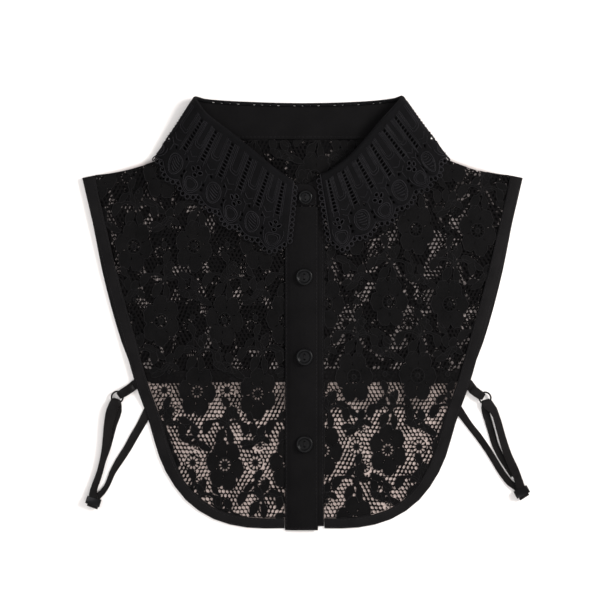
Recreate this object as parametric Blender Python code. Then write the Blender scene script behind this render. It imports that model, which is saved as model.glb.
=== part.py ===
"""A detachable shirt collar of black lace, laid flat with its front up.

Sizes are in millimetres and become metres where a mesh is made. X runs to the viewer's right, Y from
the hem to the collar, Z up from the surface that the collar lies on. The garment's own middle is x = 0
until the last step, which moves everything so that the middle of the whole box is the origin.
"""

import math

import bmesh
import bpy
import numpy as np
from mathutils import Vector

MM = 0.001

# Cloth
LACE_THICK = 1.0
STAND_THICK = 1.2
LEAF_THICK = 1.2
BINDING_THICK = 1.4
SEAM_GAP = 0.3
FRONT_OVER_BACK = 1.7
LEAF_LIFT = 1.8

# Side and hem binding
SIDE_BINDING = 9.0
HEM_BINDING = 7.6
BACK_HEM_Y = -51.0
BACK_HEM_BAND = 9.0
BACK_PEEK = 1.6
SHOULDER_BOW = 2.6

# Rows of each panel between its neck and its edge: the y it aims for, and its least and most share of the way
LEVEL_COLUMNS = ("y", "least", "most")
FRONT_LEVELS = (
    (104.0, 0.02, 0.30),
    (97.0, 0.05, 0.42),
    (88.0, 0.08, 0.52),
    (79.0, 0.11, 0.62),
    (12.0, 0.24, 0.72),
    (-55.0, 0.32, 0.82),
    (-74.0, 0.40, 0.90),
)
BACK_LEVELS = (
    (110.0, 0.04, 0.28),
    (103.0, 0.08, 0.38),
    (97.0, 0.12, 0.48),
    (88.0, 0.16, 0.58),
    (79.0, 0.20, 0.68),
    (45.0, 0.36, 0.80),
    (0.0, 0.60, 0.92),
)

# Placket
PLACKET_LEFT = -13.1
PLACKET_RIGHT = 11.6
UNDER_LEFT = -7.4
UNDER_RIGHT = 16.1
PLACKET_TOP = 80.6
OVER_BOTTOM = -162.0
UNDER_BOTTOM = -159.0
OVER_THICK = 1.5
UNDER_THICK = 1.1

# Collar
ROLL = 1.0
SCALLOP_DEPTH = 4.2
STAND_EDGE = 2.0

# Buttons
BUTTON_R = 6.3
NECK_BUTTON_R = 5.2
BUTTON_THICK = 2.6

# Elastic straps
STRAP_THICK = 0.9
STRAP_PITCH = 3.4
TAB_PITCH = 2.4
RING_R = 4.3
RING_WIRE = 0.65
SLIDER_WIDE = 11.0
SLIDER_LONG = 5.6
SLIDER_HIGH = 5.0
SLIDER_WALL = 0.8

# Outer edge of the body, from the shoulder tip down the armhole side and along the hem to the placket
SIDE_COLUMNS = ("half_width", "y")
SIDE = (
    (165.0, 102.0),
    (158.3, 73.5),
    (147.3, 27.0),
    (134.0, -21.0),
    (126.0, -49.5),
    (115.4, -80.0),
    (106.5, -109.5),
    (97.3, -127.0),
    (86.0, -140.9),
    (69.3, -152.5),
    (50.0, -158.8),
    (32.0, -160.6),
    (16.5, -160.6),
)

# A row for each lobe of the collar's edge: u counts lobes from the point at the front to the centre back.
# The fold is the collar's top roll, the edge its scalloped rim and the seam where the stand meets the body.
# turn: which way the leaf lies from the stand, 90 above, 0 outside, -90 below. sag: how soon the leaf drops.
COLLAR_COLUMNS = ("u", "fold_x", "fold_y", "fold_z", "edge_x", "edge_y", "edge_z", "turn", "sag")
COLLAR_LEFT = (
    (-0.6, 6.4, 98.6, 6.4, 11.0, 52.5, 6.1, 90, 1.3),
    (0.0, 13.5, 103.0, 7.2, 24.4, 48.0, 4.4, 90, 1.3),
    (1.0, 24.0, 110.5, 8.4, 41.6, 58.5, 4.0, 90, 1.3),
    (2.0, 37.0, 121.5, 9.4, 56.6, 67.5, 4.0, 90, 1.3),
    (3.0, 50.0, 132.0, 10.4, 71.0, 80.2, 4.1, 90, 1.3),
    (4.0, 62.0, 141.0, 11.4, 87.6, 90.0, 5.2, 90, 1.4),
    (5.0, 72.0, 149.0, 11.6, 101.0, 102.5, 6.3, 86, 1.5),
    (5.6, 77.2, 156.2, 11.2, 108.0, 112.4, 6.4, 60, 1.6),
    (6.0, 79.5, 160.8, 8.0, 110.4, 117.6, 3.6, 0, 1.8),
    (6.4, 77.4, 161.0, 5.0, 107.0, 113.4, 0.7, -60, 3.4),
    (7.0, 72.0, 159.8, 4.4, 97.0, 105.0, 0.62, -86, 4.5),
    (8.0, 54.0, 158.4, 4.2, 74.0, 102.5, 0.62, -90, 5.0),
    (9.0, 36.0, 157.6, 4.2, 50.0, 101.5, 0.62, -90, 5.0),
    (10.0, 18.0, 157.0, 4.2, 25.0, 101.0, 0.62, -90, 5.0),
    (11.0, 0.0, 156.8, 4.2, 0.0, 101.0, 0.62, -90, 5.0),
)
COLLAR_RIGHT = (
    (-0.6, 13.1, 103.6, 5.4, 21.0, 53.5, 4.5, 90, 1.3),
    (0.0, 18.0, 105.2, 6.4, 31.0, 49.5, 4.2, 90, 1.3),
    (1.0, 28.0, 111.5, 8.0, 49.0, 60.0, 4.0, 90, 1.3),
    (2.0, 38.0, 120.0, 9.4, 65.6, 70.5, 4.0, 90, 1.3),
    (3.0, 48.0, 131.0, 10.4, 79.0, 82.5, 4.3, 90, 1.3),
    (4.0, 57.0, 141.8, 11.4, 93.4, 95.2, 5.4, 90, 1.4),
    (5.0, 65.5, 151.0, 11.6, 101.4, 104.0, 6.3, 86, 1.5),
    (5.6, 71.0, 157.6, 11.2, 106.0, 112.6, 6.4, 60, 1.6),
    (6.0, 73.5, 161.6, 8.0, 108.4, 117.8, 3.6, 0, 1.8),
    (6.4, 71.6, 161.4, 5.0, 105.2, 113.5, 0.7, -60, 3.4),
    (7.0, 67.0, 160.2, 4.4, 96.0, 105.5, 0.62, -86, 4.5),
    (8.0, 53.0, 158.6, 4.2, 74.0, 102.5, 0.62, -90, 5.0),
    (9.0, 36.0, 157.6, 4.2, 50.0, 101.5, 0.62, -90, 5.0),
    (10.0, 18.0, 157.0, 4.2, 25.0, 101.0, 0.62, -90, 5.0),
    (11.0, 0.0, 156.8, 4.2, 0.0, 101.0, 0.62, -90, 5.0),
)

# The stand: the same u, its seam with the body and, before the leaf begins, its own free front end
STAND_COLUMNS = ("u", "top_x", "top_y", "top_z", "seam_x", "seam_y", "seam_z")
STAND_LEFT = (
    (-1.6, -10.6, 91.0, 5.2, -10.6, 81.3, 4.4),
    (-1.2, -5.5, 96.6, 5.3, -5.5, 81.2, 4.4),
    (-0.6, 6.4, 97.4, 5.4, 7.5, 81.0, 4.1),
    (0.0, 13.5, 103.0, 7.2, 20.0, 80.8, 2.4),
    (1.0, 24.0, 110.5, 8.4, 36.0, 86.5, 2.6),
    (2.0, 37.0, 121.5, 9.4, 51.0, 96.0, 3.6),
    (3.0, 50.0, 132.0, 10.4, 64.0, 106.0, 4.1),
    (4.0, 62.0, 141.0, 11.4, 76.0, 113.5, 4.3),
    (5.0, 72.0, 149.0, 11.6, 84.5, 116.8, 4.5),
    (5.6, 77.2, 156.2, 11.2, 88.8, 119.4, 4.6),
    (6.0, 79.5, 160.8, 8.0, 90.4, 121.4, 3.5),
    (6.4, 77.4, 161.0, 5.0, 87.4, 123.4, 2.5),
    (7.0, 72.0, 159.8, 4.4, 79.0, 126.6, 2.4),
    (8.0, 54.0, 158.4, 4.2, 56.0, 130.4, 2.4),
    (9.0, 36.0, 157.6, 4.2, 37.0, 131.0, 2.4),
    (10.0, 18.0, 157.0, 4.2, 18.0, 131.0, 2.4),
    (11.0, 0.0, 156.8, 4.2, 0.0, 131.0, 2.4),
)
STAND_RIGHT = (
    (-1.6, -4.0, 94.0, 3.6, -4.0, 81.4, 2.35),
    (-1.0, 8.0, 99.5, 3.8, 8.0, 81.2, 2.35),
    (-0.6, 13.1, 103.6, 5.4, 14.0, 81.0, 2.35),
    (0.0, 18.0, 105.2, 6.4, 24.0, 82.0, 2.4),
    (1.0, 28.0, 111.5, 8.0, 37.0, 88.0, 2.8),
    (2.0, 38.0, 120.0, 9.4, 51.0, 97.0, 3.7),
    (3.0, 48.0, 131.0, 10.4, 64.0, 106.5, 4.1),
    (4.0, 57.0, 141.8, 11.4, 76.0, 114.0, 4.3),
    (5.0, 65.5, 151.0, 11.6, 84.5, 117.2, 4.5),
    (5.6, 71.0, 157.6, 11.2, 88.8, 119.6, 4.6),
    (6.0, 73.5, 161.6, 8.0, 90.4, 121.6, 3.5),
    (6.4, 71.6, 161.4, 5.0, 87.4, 123.6, 2.5),
    (7.0, 67.0, 160.2, 4.4, 78.0, 127.0, 2.4),
    (8.0, 53.0, 158.6, 4.2, 56.0, 130.4, 2.4),
    (9.0, 36.0, 157.6, 4.2, 37.0, 131.0, 2.4),
    (10.0, 18.0, 157.0, 4.2, 18.0, 131.0, 2.4),
    (11.0, 0.0, 156.8, 4.2, 0.0, 131.0, 2.4),
)

# Buttons: x, y, radius
BUTTON_COLUMNS = ("x", "y", "radius")
BUTTONS = (
    (2.2, 87.2, NECK_BUTTON_R),
    (1.3, 27.8, BUTTON_R),
    (1.5, -32.2, BUTTON_R),
    (1.5, -97.5, BUTTON_R),
)

# Straps, each from the hem to the slider, up to the ring and back down: x is measured outwards
STRAP_COLUMNS = ("x", "y", "z", "width")
STRAP_RIGHT = (
    (117.4, -75.6, 0.46, 6.8),
    (121.4, -83.4, 0.46, 6.2),
    (126.4, -91.9, 0.46, 6.2),
    (131.4, -100.9, 0.46, 5.9),
    (137.2, -109.9, 0.46, 5.7),
    (142.5, -118.9, 0.46, 4.6),
    (146.2, -127.9, 0.6, 4.0),
    (150.0, -133.6, 1.1, 4.4),
    (153.2, -136.6, 1.5, 4.8),
    (155.8, -139.9, 1.6, 6.2),
    (157.0, -143.4, 1.7, 8.2),
    (157.5, -144.6, 2.6, 8.4),
    (157.1, -143.4, 3.5, 8.2),
    (156.4, -139.5, 3.5, 7.2),
    (156.9, -134.5, 3.4, 5.8),
    (155.3, -128.2, 3.0, 5.0),
    (152.0, -119.0, 3.0, 4.7),
    (149.6, -109.9, 3.0, 4.8),
    (147.4, -100.9, 3.0, 6.0),
    (146.4, -91.9, 3.1, 6.3),
    (145.3, -82.9, 3.3, 6.8),
    (142.9, -72.5, 3.75, 8.0),
    (139.78, -65.24, 3.75, 7.4),
    (139.43, -64.2, 3.27, 6.0),
    (139.27, -63.72, 2.1, 5.0),
    (139.43, -64.2, 0.93, 6.0),
    (139.78, -65.24, 0.46, 7.2),
    (139.0, -72.5, 0.46, 7.0),
    (142.2, -82.9, 0.46, 6.2),
    (144.4, -91.9, 0.46, 5.8),
    (146.8, -100.9, 0.46, 5.6),
    (149.6, -109.9, 0.46, 4.6),
    (151.9, -118.9, 0.46, 4.4),
    (154.5, -127.0, 0.46, 4.4),
)
STRAP_LEFT = (
    (118.2, -73.2, 0.46, 6.2),
    (124.9, -82.9, 0.46, 5.2),
    (132.0, -91.9, 0.46, 5.3),
    (138.3, -100.9, 0.46, 5.1),
    (143.8, -109.9, 0.46, 4.9),
    (149.4, -118.9, 0.6, 5.0),
    (155.4, -126.6, 1.1, 4.9),
    (160.0, -129.8, 1.5, 4.8),
    (163.0, -132.4, 1.6, 5.6),
    (165.7, -136.3, 1.7, 7.8),
    (166.3, -137.3, 2.6, 8.0),
    (165.8, -136.2, 3.5, 7.8),
    (163.8, -131.6, 3.5, 6.8),
    (162.0, -125.5, 3.4, 6.2),
    (158.9, -117.0, 3.1, 6.2),
    (154.3, -106.9, 3.0, 6.0),
    (151.3, -98.5, 3.0, 5.8),
    (148.5, -88.9, 3.1, 5.6),
    (146.0, -79.9, 3.3, 5.5),
    (144.8, -76.2, 3.5, 5.3),
    (142.9, -72.0, 3.75, 6.2),
    (139.7, -68.6, 3.75, 7.8),
    (137.78, -65.84, 3.75, 7.6),
    (137.43, -64.8, 3.27, 6.0),
    (137.27, -64.32, 2.1, 5.0),
    (137.43, -64.8, 0.93, 6.0),
    (137.5, -66.0, 0.46, 6.0),
    (137.0, -70.6, 0.46, 6.0),
    (138.0, -76.2, 0.46, 5.6),
    (139.2, -79.9, 0.46, 5.5),
    (141.8, -88.9, 0.46, 5.2),
    (144.4, -97.9, 0.46, 5.0),
    (148.7, -106.9, 0.46, 4.8),
    (153.4, -114.4, 0.46, 4.6),
    (157.9, -121.4, 0.46, 4.4),
)
# Tabs: from the back's corner, under the front's binding, out through the ring and back over itself
TAB_COLUMNS = ("x", "y", "z", "width")
TAB_RIGHT = (
    (120.85, -48.75, 0.46, 7.0),
    (126.4, -53.6, 0.46, 7.0),
    (131.6, -57.4, 0.46, 6.8),
    (136.34, -60.42, 0.46, 6.2),
    (137.21, -61.08, 0.93, 5.4),
    (137.61, -61.39, 2.1, 4.8),
    (137.21, -61.08, 3.27, 5.4),
    (136.34, -60.42, 3.75, 6.2),
    (131.8, -57.5, 3.3, 6.6),
    (129.4, -55.9, 2.5, 6.6),
    (126.8, -54.2, 1.75, 6.6),
)
TAB_LEFT = (
    (120.85, -48.75, 0.46, 7.0),
    (124.4, -52.3, 0.46, 7.0),
    (128.6, -57.4, 0.46, 6.8),
    (134.24, -61.32, 0.46, 6.2),
    (135.17, -61.83, 0.93, 5.4),
    (135.58, -62.11, 2.1, 4.8),
    (135.17, -61.83, 3.27, 5.4),
    (134.24, -61.32, 3.75, 6.2),
    (130.8, -59.3, 3.3, 6.6),
    (128.8, -57.9, 2.5, 6.6),
    (126.9, -56.4, 1.75, 6.6),
)
# Rings and sliders, right (-1) and left (1): x measured outwards, angles in degrees
RING_PLACE = {-1: (138.8, -62.3, 2.1), 1: (136.8, -62.9, 2.1)}
SLIDER_PLACE = {-1: (156.6, -140.3), 1: (164.2, -133.2)}
SLIDER_ANGLE = {-1: 72.0, 1: -62.0}

COLOURS = {
    "lace": ((0.012, 0.011, 0.012, 1.0), 0.78, 0.0),
    "guipure": ((0.014, 0.013, 0.014, 1.0), 0.72, 0.0),
    "woven": ((0.016, 0.015, 0.016, 1.0), 0.66, 0.0),
    "satin": ((0.014, 0.013, 0.013, 1.0), 0.38, 0.0),
    "button": ((0.010, 0.010, 0.010, 1.0), 0.24, 0.0),
    "metal": ((0.030, 0.028, 0.028, 1.0), 0.22, 0.9),
}


def smooth(value):
    t = min(1.0, max(0.0, value))
    return t * t * (3.0 - 2.0 * t)


def lift(x, y):
    """How far the body is raised by the collar's back leaf, which lies beneath it."""
    return LEAF_LIFT * smooth((y - 79.0) / 18.0) * (1.0 - smooth((abs(x) - 111.0) / 16.0))


def front_base(x, y):
    """Underside of the front: over the back down to the back's hem, then on the surface below."""
    over = smooth((y - (BACK_HEM_Y - 21.0)) / 15.0)
    return over * FRONT_OVER_BACK + lift(x, y)


def catmull(rows, params, at):
    """The row of numbers at one place along a table, on a smooth curve through its rows."""
    rows = np.asarray(rows, float)
    k = int(np.clip(np.searchsorted(params, at, side="right") - 1, 0, len(rows) - 2))
    p1 = rows[k]
    p2 = rows[k + 1]
    h = params[k + 1] - params[k]
    s = (at - params[k]) / h
    if k > 0:
        m1 = (p2 - rows[k - 1]) / (params[k + 1] - params[k - 1]) * h
    else:
        m1 = p2 - p1
    if k + 2 < len(rows):
        m2 = (rows[k + 2] - p1) / (params[k + 2] - params[k]) * h
    else:
        m2 = p2 - p1
    a = 2 * s**3 - 3 * s**2 + 1
    b = s**3 - 2 * s**2 + s
    c = -2 * s**3 + 3 * s**2
    d = s**3 - s**2
    return a * p1 + b * m1 + c * p2 + d * m2


def resample(rows, count):
    """Points at even steps along the smooth curve through the rows."""
    rows = np.asarray(rows, float)
    steps = np.linalg.norm(np.diff(rows, axis=0), axis=1)
    params = np.concatenate([[0.0], np.cumsum(steps)])
    fine = np.array([catmull(rows, params, t) for t in np.linspace(0, params[-1], 400)])
    run = np.concatenate([[0.0], np.cumsum(np.linalg.norm(np.diff(fine, axis=0), axis=1))])
    at = np.linspace(0, run[-1], count)
    return np.stack([np.interp(at, run, fine[:, k]) for k in range(rows.shape[1])], axis=1)


def through(rows, pitch):
    """Points on the smooth curve through the rows, with each row kept and the longer spans divided."""
    rows = np.asarray(rows, float)
    params = np.concatenate([[0.0], np.cumsum(np.linalg.norm(np.diff(rows, axis=0), axis=1))])
    at = [0.0]
    for start, end in zip(params[:-1], params[1:]):
        count = max(1, round((end - start) / pitch))
        at += [start + (end - start) * k / count for k in range(1, count + 1)]
    return np.array([catmull(rows, params, t) for t in at])


def inset(points, widths):
    """A plane curve moved to its right-hand side by the widths."""
    tangent = np.gradient(points, axis=0)
    tangent /= np.linalg.norm(tangent, axis=1)[:, None]
    normal = np.stack([tangent[:, 1], -tangent[:, 0]], axis=1)
    return points + normal * np.asarray(widths)[:, None]


def material(kind):
    name = "collar_" + kind
    found = bpy.data.materials.get(name)
    if found:
        return found
    colour, roughness, metallic = COLOURS[kind]
    made = bpy.data.materials.new(name)
    made.use_nodes = True
    shader = made.node_tree.nodes["Principled BSDF"]
    shader.inputs["Base Color"].default_value = colour
    shader.inputs["Roughness"].default_value = roughness
    shader.inputs["Metallic"].default_value = metallic
    made.diffuse_color = colour
    return made


def make_object(name, verts, faces, kind, shade):
    mesh = bpy.data.meshes.new(name)
    mesh.from_pydata([tuple(float(c) * MM for c in v) for v in verts], [], faces)
    mesh.validate()
    work = bmesh.new()
    work.from_mesh(mesh)
    bmesh.ops.recalc_face_normals(work, faces=work.faces)
    if work.calc_volume(signed=True) < 0:
        bmesh.ops.reverse_faces(work, faces=work.faces)
    work.to_mesh(mesh)
    work.free()
    obj = bpy.data.objects.new(name, mesh)
    bpy.context.scene.collection.objects.link(obj)
    mesh.materials.append(material(kind))
    for polygon in mesh.polygons:
        polygon.use_smooth = shade
    return obj


def shell(name, top, bottom, kind, shade=True):
    """One closed body between two grids of points of the same shape."""
    rows, columns = top.shape[:2]
    verts = list(top.reshape(-1, 3)) + list(bottom.reshape(-1, 3))
    below = rows * columns
    faces = []
    for i in range(rows - 1):
        for j in range(columns - 1):
            a = i * columns + j
            b = a + 1
            c = a + columns + 1
            d = a + columns
            faces.append((a, b, c, d))
            faces.append((below + d, below + c, below + b, below + a))
    rim = [i * columns for i in range(rows)]
    rim += [(rows - 1) * columns + j for j in range(1, columns)]
    rim += [i * columns + columns - 1 for i in range(rows - 2, -1, -1)]
    rim += [j for j in range(columns - 2, 0, -1)]
    for k, a in enumerate(rim):
        b = rim[(k + 1) % len(rim)]
        faces.append((a, b, below + b, below + a))
    return make_object(name, verts, faces, kind, shade)


def grid_normals(mid):
    along = np.gradient(mid, axis=0)
    across = np.gradient(mid, axis=1)
    normal = np.cross(along, across)
    return normal / np.linalg.norm(normal, axis=2)[:, :, None]


def thick_shell(name, mid, thick, kind):
    normal = grid_normals(mid)
    top = mid + normal * thick / 2
    bottom = mid - normal * thick / 2
    top[:, :, 2] = np.maximum(top[:, :, 2], 0.0)
    bottom[:, :, 2] = np.maximum(bottom[:, :, 2], 0.0)
    return shell(name, top, bottom, kind)


def laid_shell(name, flat, base, thick, kind):
    """Cloth lying flat: plane points raised to their base height, with the given thickness."""
    rows, columns = flat.shape[:2]
    bottom = np.zeros((rows, columns, 3))
    bottom[:, :, :2] = flat
    for i in range(rows):
        for j in range(columns):
            bottom[i, j, 2] = base(flat[i, j, 0], flat[i, j, 1])
    top = bottom.copy()
    top[:, :, 2] += thick
    return shell(name, top, bottom, kind)


def mirrored(points, side):
    out = np.array(points, float)
    out[..., 0] *= side
    return out


def side_curve(count):
    return resample(SIDE, count)


def binding_widths(points):
    t = np.clip((points[:, 1] + 150.0) / 40.0, 0, 1)
    return HEM_BINDING + (SIDE_BINDING - HEM_BINDING) * t


def neck_curve(rows, count, gap):
    """The body's neck edge on one side, the gap away from the stand's seam, centre front to shoulder."""
    params = [row[0] for row in rows]
    table = [row[4:6] for row in rows]
    line = np.array([catmull(table, params, u) for u in np.linspace(-0.6, 5.9, 60)])
    line = resample(line, count)
    return inset(line, [gap] * count)


def ruled(neck, edge, levels):
    """Rows of plane points from the neck to the edge, with one wherever the height starts to change."""
    flat = np.zeros((len(neck), len(levels) + 2, 2))
    for i in range(len(neck)):
        fall = max(1e-6, neck[i, 1] - edge[i, 1])
        stops = [0.0]
        for y, least, most in levels:
            stops.append(min(most, max(least, (neck[i, 1] - y) / fall)))
        stops.append(1.0)
        for j, t in enumerate(stops):
            flat[i, j] = neck[i] * (1 - t) + edge[i] * t
    return flat


def bow_shoulder(flat):
    """Hollows the shoulder line a little between the neck and the armhole."""
    levels = flat.shape[1]
    for i in range(4):
        for j in range(levels):
            flat[i, j, 1] -= SHOULDER_BOW * math.sin(math.pi * j / (levels - 1)) * (1.0 - i / 4.0)


def build_front(side, rows, name, binding_name):
    """One front: a lace panel ruled from the neck to the binding, and its side and hem binding."""
    count = 27
    outer = side_curve(count)
    inner = inset(outer, binding_widths(outer))
    start = -PLACKET_LEFT if side < 0 else UNDER_RIGHT
    for curve in (outer, inner):
        curve[-1, 0] = start + SEAM_GAP
    inner[0] = (155.4, 103.9)
    strip = np.stack([outer, 0.5 * (outer + inner), inner], axis=1)
    strip = mirrored(strip, side)
    laid_shell(binding_name, strip, front_base, BINDING_THICK, "satin")

    edge = inset(outer, binding_widths(outer) + SEAM_GAP)
    edge[-1, 0] = start + SEAM_GAP
    edge[0] = (155.1, 103.9)
    neck = neck_curve(rows, count, 0.7)[::-1]
    neck[-1] = (start + SEAM_GAP, PLACKET_TOP - 0.6)
    flat = ruled(neck, edge, FRONT_LEVELS)
    bow_shoulder(flat)
    flat[:, :, 0] = np.maximum(flat[:, :, 0], start + SEAM_GAP)
    laid_shell(name, mirrored(flat, side), front_base, LACE_THICK, "lace")


def back_outline(count):
    """Outer edge of the back on one side: the armhole side, a small round corner, the hem to the middle."""
    rows = []
    for half, y in SIDE[:5]:
        peek = BACK_PEEK * smooth((70.0 - y) / 40.0) * (1.0 - smooth((-22.0 - y) / 22.0))
        rows.append((half + peek, y))
    rows[-1] = (124.6, BACK_HEM_Y + 4.5)
    rows += [(119.0, BACK_HEM_Y - 0.6), (80.0, BACK_HEM_Y - 0.3), (40.0, BACK_HEM_Y), (0.0, BACK_HEM_Y)]
    return resample(rows, count)


def build_back():
    count = 21
    outer = back_outline(count)
    inner = inset(outer, [BACK_HEM_BAND] * count)
    inner[0] = (155.4, 103.9)
    inner[-1, 0] = 0.0
    edge = inset(outer, [BACK_HEM_BAND + SEAM_GAP] * count)
    edge[0] = (155.1, 103.9)
    edge[-1, 0] = 0.0
    strip = np.stack([outer, 0.5 * (outer + inner), inner], axis=1)
    both = np.concatenate([mirrored(strip, -1), strip[::-1][1:]])
    laid_shell("back_binding", both, lambda x, y: lift(x, y), 1.3, "satin")

    params = [row[0] for row in STAND_LEFT]
    table = [row[4:6] for row in STAND_LEFT]
    neck = np.array([catmull(table, params, u) for u in np.linspace(6.1, 11.0, 60)])
    neck = resample(neck, count)
    neck = inset(neck, [-0.7] * count)
    neck[-1, 0] = 0.0
    flat = ruled(neck, edge, BACK_LEVELS)
    bow_shoulder(flat)
    both = np.concatenate([mirrored(flat, -1), flat[::-1][1:]])
    laid_shell("back_panel", both, lambda x, y: lift(x, y), LACE_THICK, "lace")


def build_plackets():
    """Under and over placket, each a folded strip down the centre front; the over one steps up."""
    levels = 22
    step = FRONT_OVER_BACK
    under_x = (UNDER_LEFT, 0.0, 8.0, 12.5, UNDER_RIGHT)
    over_x = (PLACKET_LEFT, -11.9, -8.3, -6.0, 0.0, 6.0, 9.8, PLACKET_RIGHT)
    over_up = (0.0, 0.0, 1.0, 1.0, 1.0, 1.0, 1.0, 1.0)
    for name, xs, ups, bottom, thick in (
        ("placket_under", under_x, (0.0,) * 5, UNDER_BOTTOM, UNDER_THICK),
        ("placket_over", over_x, over_up, OVER_BOTTOM, OVER_THICK),
    ):
        base = np.zeros((levels, len(xs), 3))
        for i, y in enumerate(np.linspace(PLACKET_TOP, bottom, levels)):
            for j, x in enumerate(xs):
                height = front_base(x, y) + ups[j] * (UNDER_THICK + SEAM_GAP + 0.05)
                base[i, j] = (x, y, height)
        top = base.copy()
        top[:, :, 2] += thick
        shell(name, top, base, "woven")
    return step


def collar_row(table, u, side):
    params = [row[0] for row in table]
    row = catmull([row[1:] for row in table], params, u)
    fold = np.array((side * row[0], row[1], row[2]))
    edge = np.array((side * row[3], row[4], row[5]))
    return fold, edge, math.radians(row[6]), row[7]


def stand_row(table, u, side):
    params = [row[0] for row in table]
    row = catmull([row[1:] for row in table], params, u)
    top = np.array((side * row[0], row[1], row[2]))
    seam = np.array((side * row[3], row[4], row[5]))
    return top, seam


def stand_section(table, u, side, leafed):
    """Points of the stand's middle surface from its seam up to just below the roll."""
    top, seam = stand_row(table, u, side)
    length = np.linalg.norm(top - seam)
    stop = 1.0 - (STAND_EDGE / length) * leafed
    row = []
    for a in (0.0, 0.33, 0.66, 1.0):
        point = seam + (top - seam) * a * stop
        row.append(point)
    return row


def leaf_section(table, stand, u, side):
    """Points of the leaf's middle surface: out of the stand, round the roll and down to the scallops."""
    fold, edge, turn, sag = collar_row(table, u, side)
    top, seam = stand_row(stand, u, side)
    rise = (top - seam) / np.linalg.norm(top - seam)
    out = np.array((side * 0.855, 0.519, 0.0))
    away = out * math.cos(turn) + np.array((0.0, 0.0, 1.0)) * math.sin(turn)
    pull = SCALLOP_DEPTH * (1.0 - abs(math.cos(math.pi * u)))
    if u < 0:
        pull = SCALLOP_DEPTH * 0.5 * (1.0 - abs(math.cos(math.pi * u)))
    flat = (edge - fold) * np.array((1.0, 1.0, 0.0))
    flat /= np.linalg.norm(flat)
    tip = edge - flat * pull
    row = [
        fold - rise * (STAND_EDGE - SEAM_GAP),
        fold - rise * 0.3 + away * 0.1,
        fold + rise * 0.75 + away * ROLL,
        fold - rise * 0.1 + away * 2.0 * ROLL,
    ]
    start = fold + away * 2.0 * ROLL
    for b in (0.08, 0.22, 0.42, 0.62, 0.82, 1.0):
        point = start * (1 - b) + tip * b
        blend = max(0.0, math.sin(turn)) ** 2
        drop = (start[2] - tip[2]) * ((1 - b) ** sag) + tip[2]
        point[2] = drop + 0.5 * blend * math.sin(math.pi * b)
        row.append(point)
    return row


def build_collar():
    side_u = [-0.6, -0.3]
    for lobe in range(5):
        side_u += [lobe + part for part in (0.0, 0.2, 0.38, 0.5, 0.62, 0.8)]
    side_u += [5.0, 5.2, 5.4, 5.6, 5.8, 6.0, 6.2, 6.4, 6.6, 6.8]
    side_u += [7.0, 7.25, 7.5, 7.75, 8.0, 8.5, 9.0, 9.5, 10.0, 10.5]
    leaf = [leaf_section(COLLAR_LEFT, STAND_LEFT, u, -1) for u in side_u]
    leaf += [leaf_section(COLLAR_LEFT, STAND_LEFT, 11.0, -1)]
    leaf += [leaf_section(COLLAR_RIGHT, STAND_RIGHT, u, 1) for u in reversed(side_u)]
    thick_shell("collar_leaf", np.array(leaf), LEAF_THICK, "guipure")

    ends = [-1.6, -1.45, -1.3, -1.1, -0.9, -0.7]
    stand_u = [-0.6, -0.3, 0.0, 0.5, 1.0, 1.5, 2.0, 2.5, 3.0, 3.5, 4.0, 4.5, 5.0]
    stand_u += [5.25, 5.5, 5.75, 6.0, 6.25, 6.5, 6.75, 7.0, 7.5, 8.0, 8.5, 9.0, 10.0]
    stand = [stand_section(STAND_LEFT, u, -1, 0.0) for u in ends]
    stand += [stand_section(STAND_LEFT, u, -1, 1.0) for u in stand_u]
    stand += [stand_section(STAND_LEFT, 11.0, -1, 1.0)]
    stand += [stand_section(STAND_RIGHT, u, 1, 1.0) for u in reversed(stand_u)]
    stand += [stand_section(STAND_RIGHT, u, 1, 0.0) for u in reversed(ends)]
    thick_shell("collar_stand", np.array(stand), STAND_THICK, "woven")


def lathe(name, centre, profile, kind, count=20):
    """A turned solid on an upright axis, from a profile of radius and height that starts and ends on it."""
    verts = [(centre[0], centre[1], centre[2] + profile[0][1])]
    for radius, height in profile[1:-1]:
        for k in range(count):
            angle = 2 * math.pi * k / count
            x = centre[0] + radius * math.cos(angle)
            y = centre[1] + radius * math.sin(angle)
            verts.append((x, y, centre[2] + height))
    verts.append((centre[0], centre[1], centre[2] + profile[-1][1]))
    last = len(verts) - 1
    rings = len(profile) - 2
    faces = []
    for k in range(count):
        after = (k + 1) % count
        faces.append((0, 1 + after, 1 + k))
        faces.append((last, last - count + k, last - count + after))
        for r in range(rings - 1):
            a = 1 + r * count
            b = a + count
            faces.append((a + k, a + after, b + after, b + k))
    return make_object(name, verts, faces, kind, True)


def build_buttons():
    for k, (x, y, radius) in enumerate(BUTTONS):
        if k == 0:
            under = 5.6
        else:
            under = front_base(x, y) + UNDER_THICK + SEAM_GAP + 0.05 + OVER_THICK
        thick = BUTTON_THICK
        profile = (
            (0.0, 0.0),
            (radius * 0.72, 0.0),
            (radius, thick * 0.6),
            (radius * 0.93, thick * 0.93),
            (radius * 0.83, thick),
            (radius * 0.72, thick * 0.86),
            (radius * 0.62, thick * 0.7),
            (0.0, thick * 0.64),
        )
        lathe("button_%d" % (k + 1), (x, y, under + SEAM_GAP), profile, "button")


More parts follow.
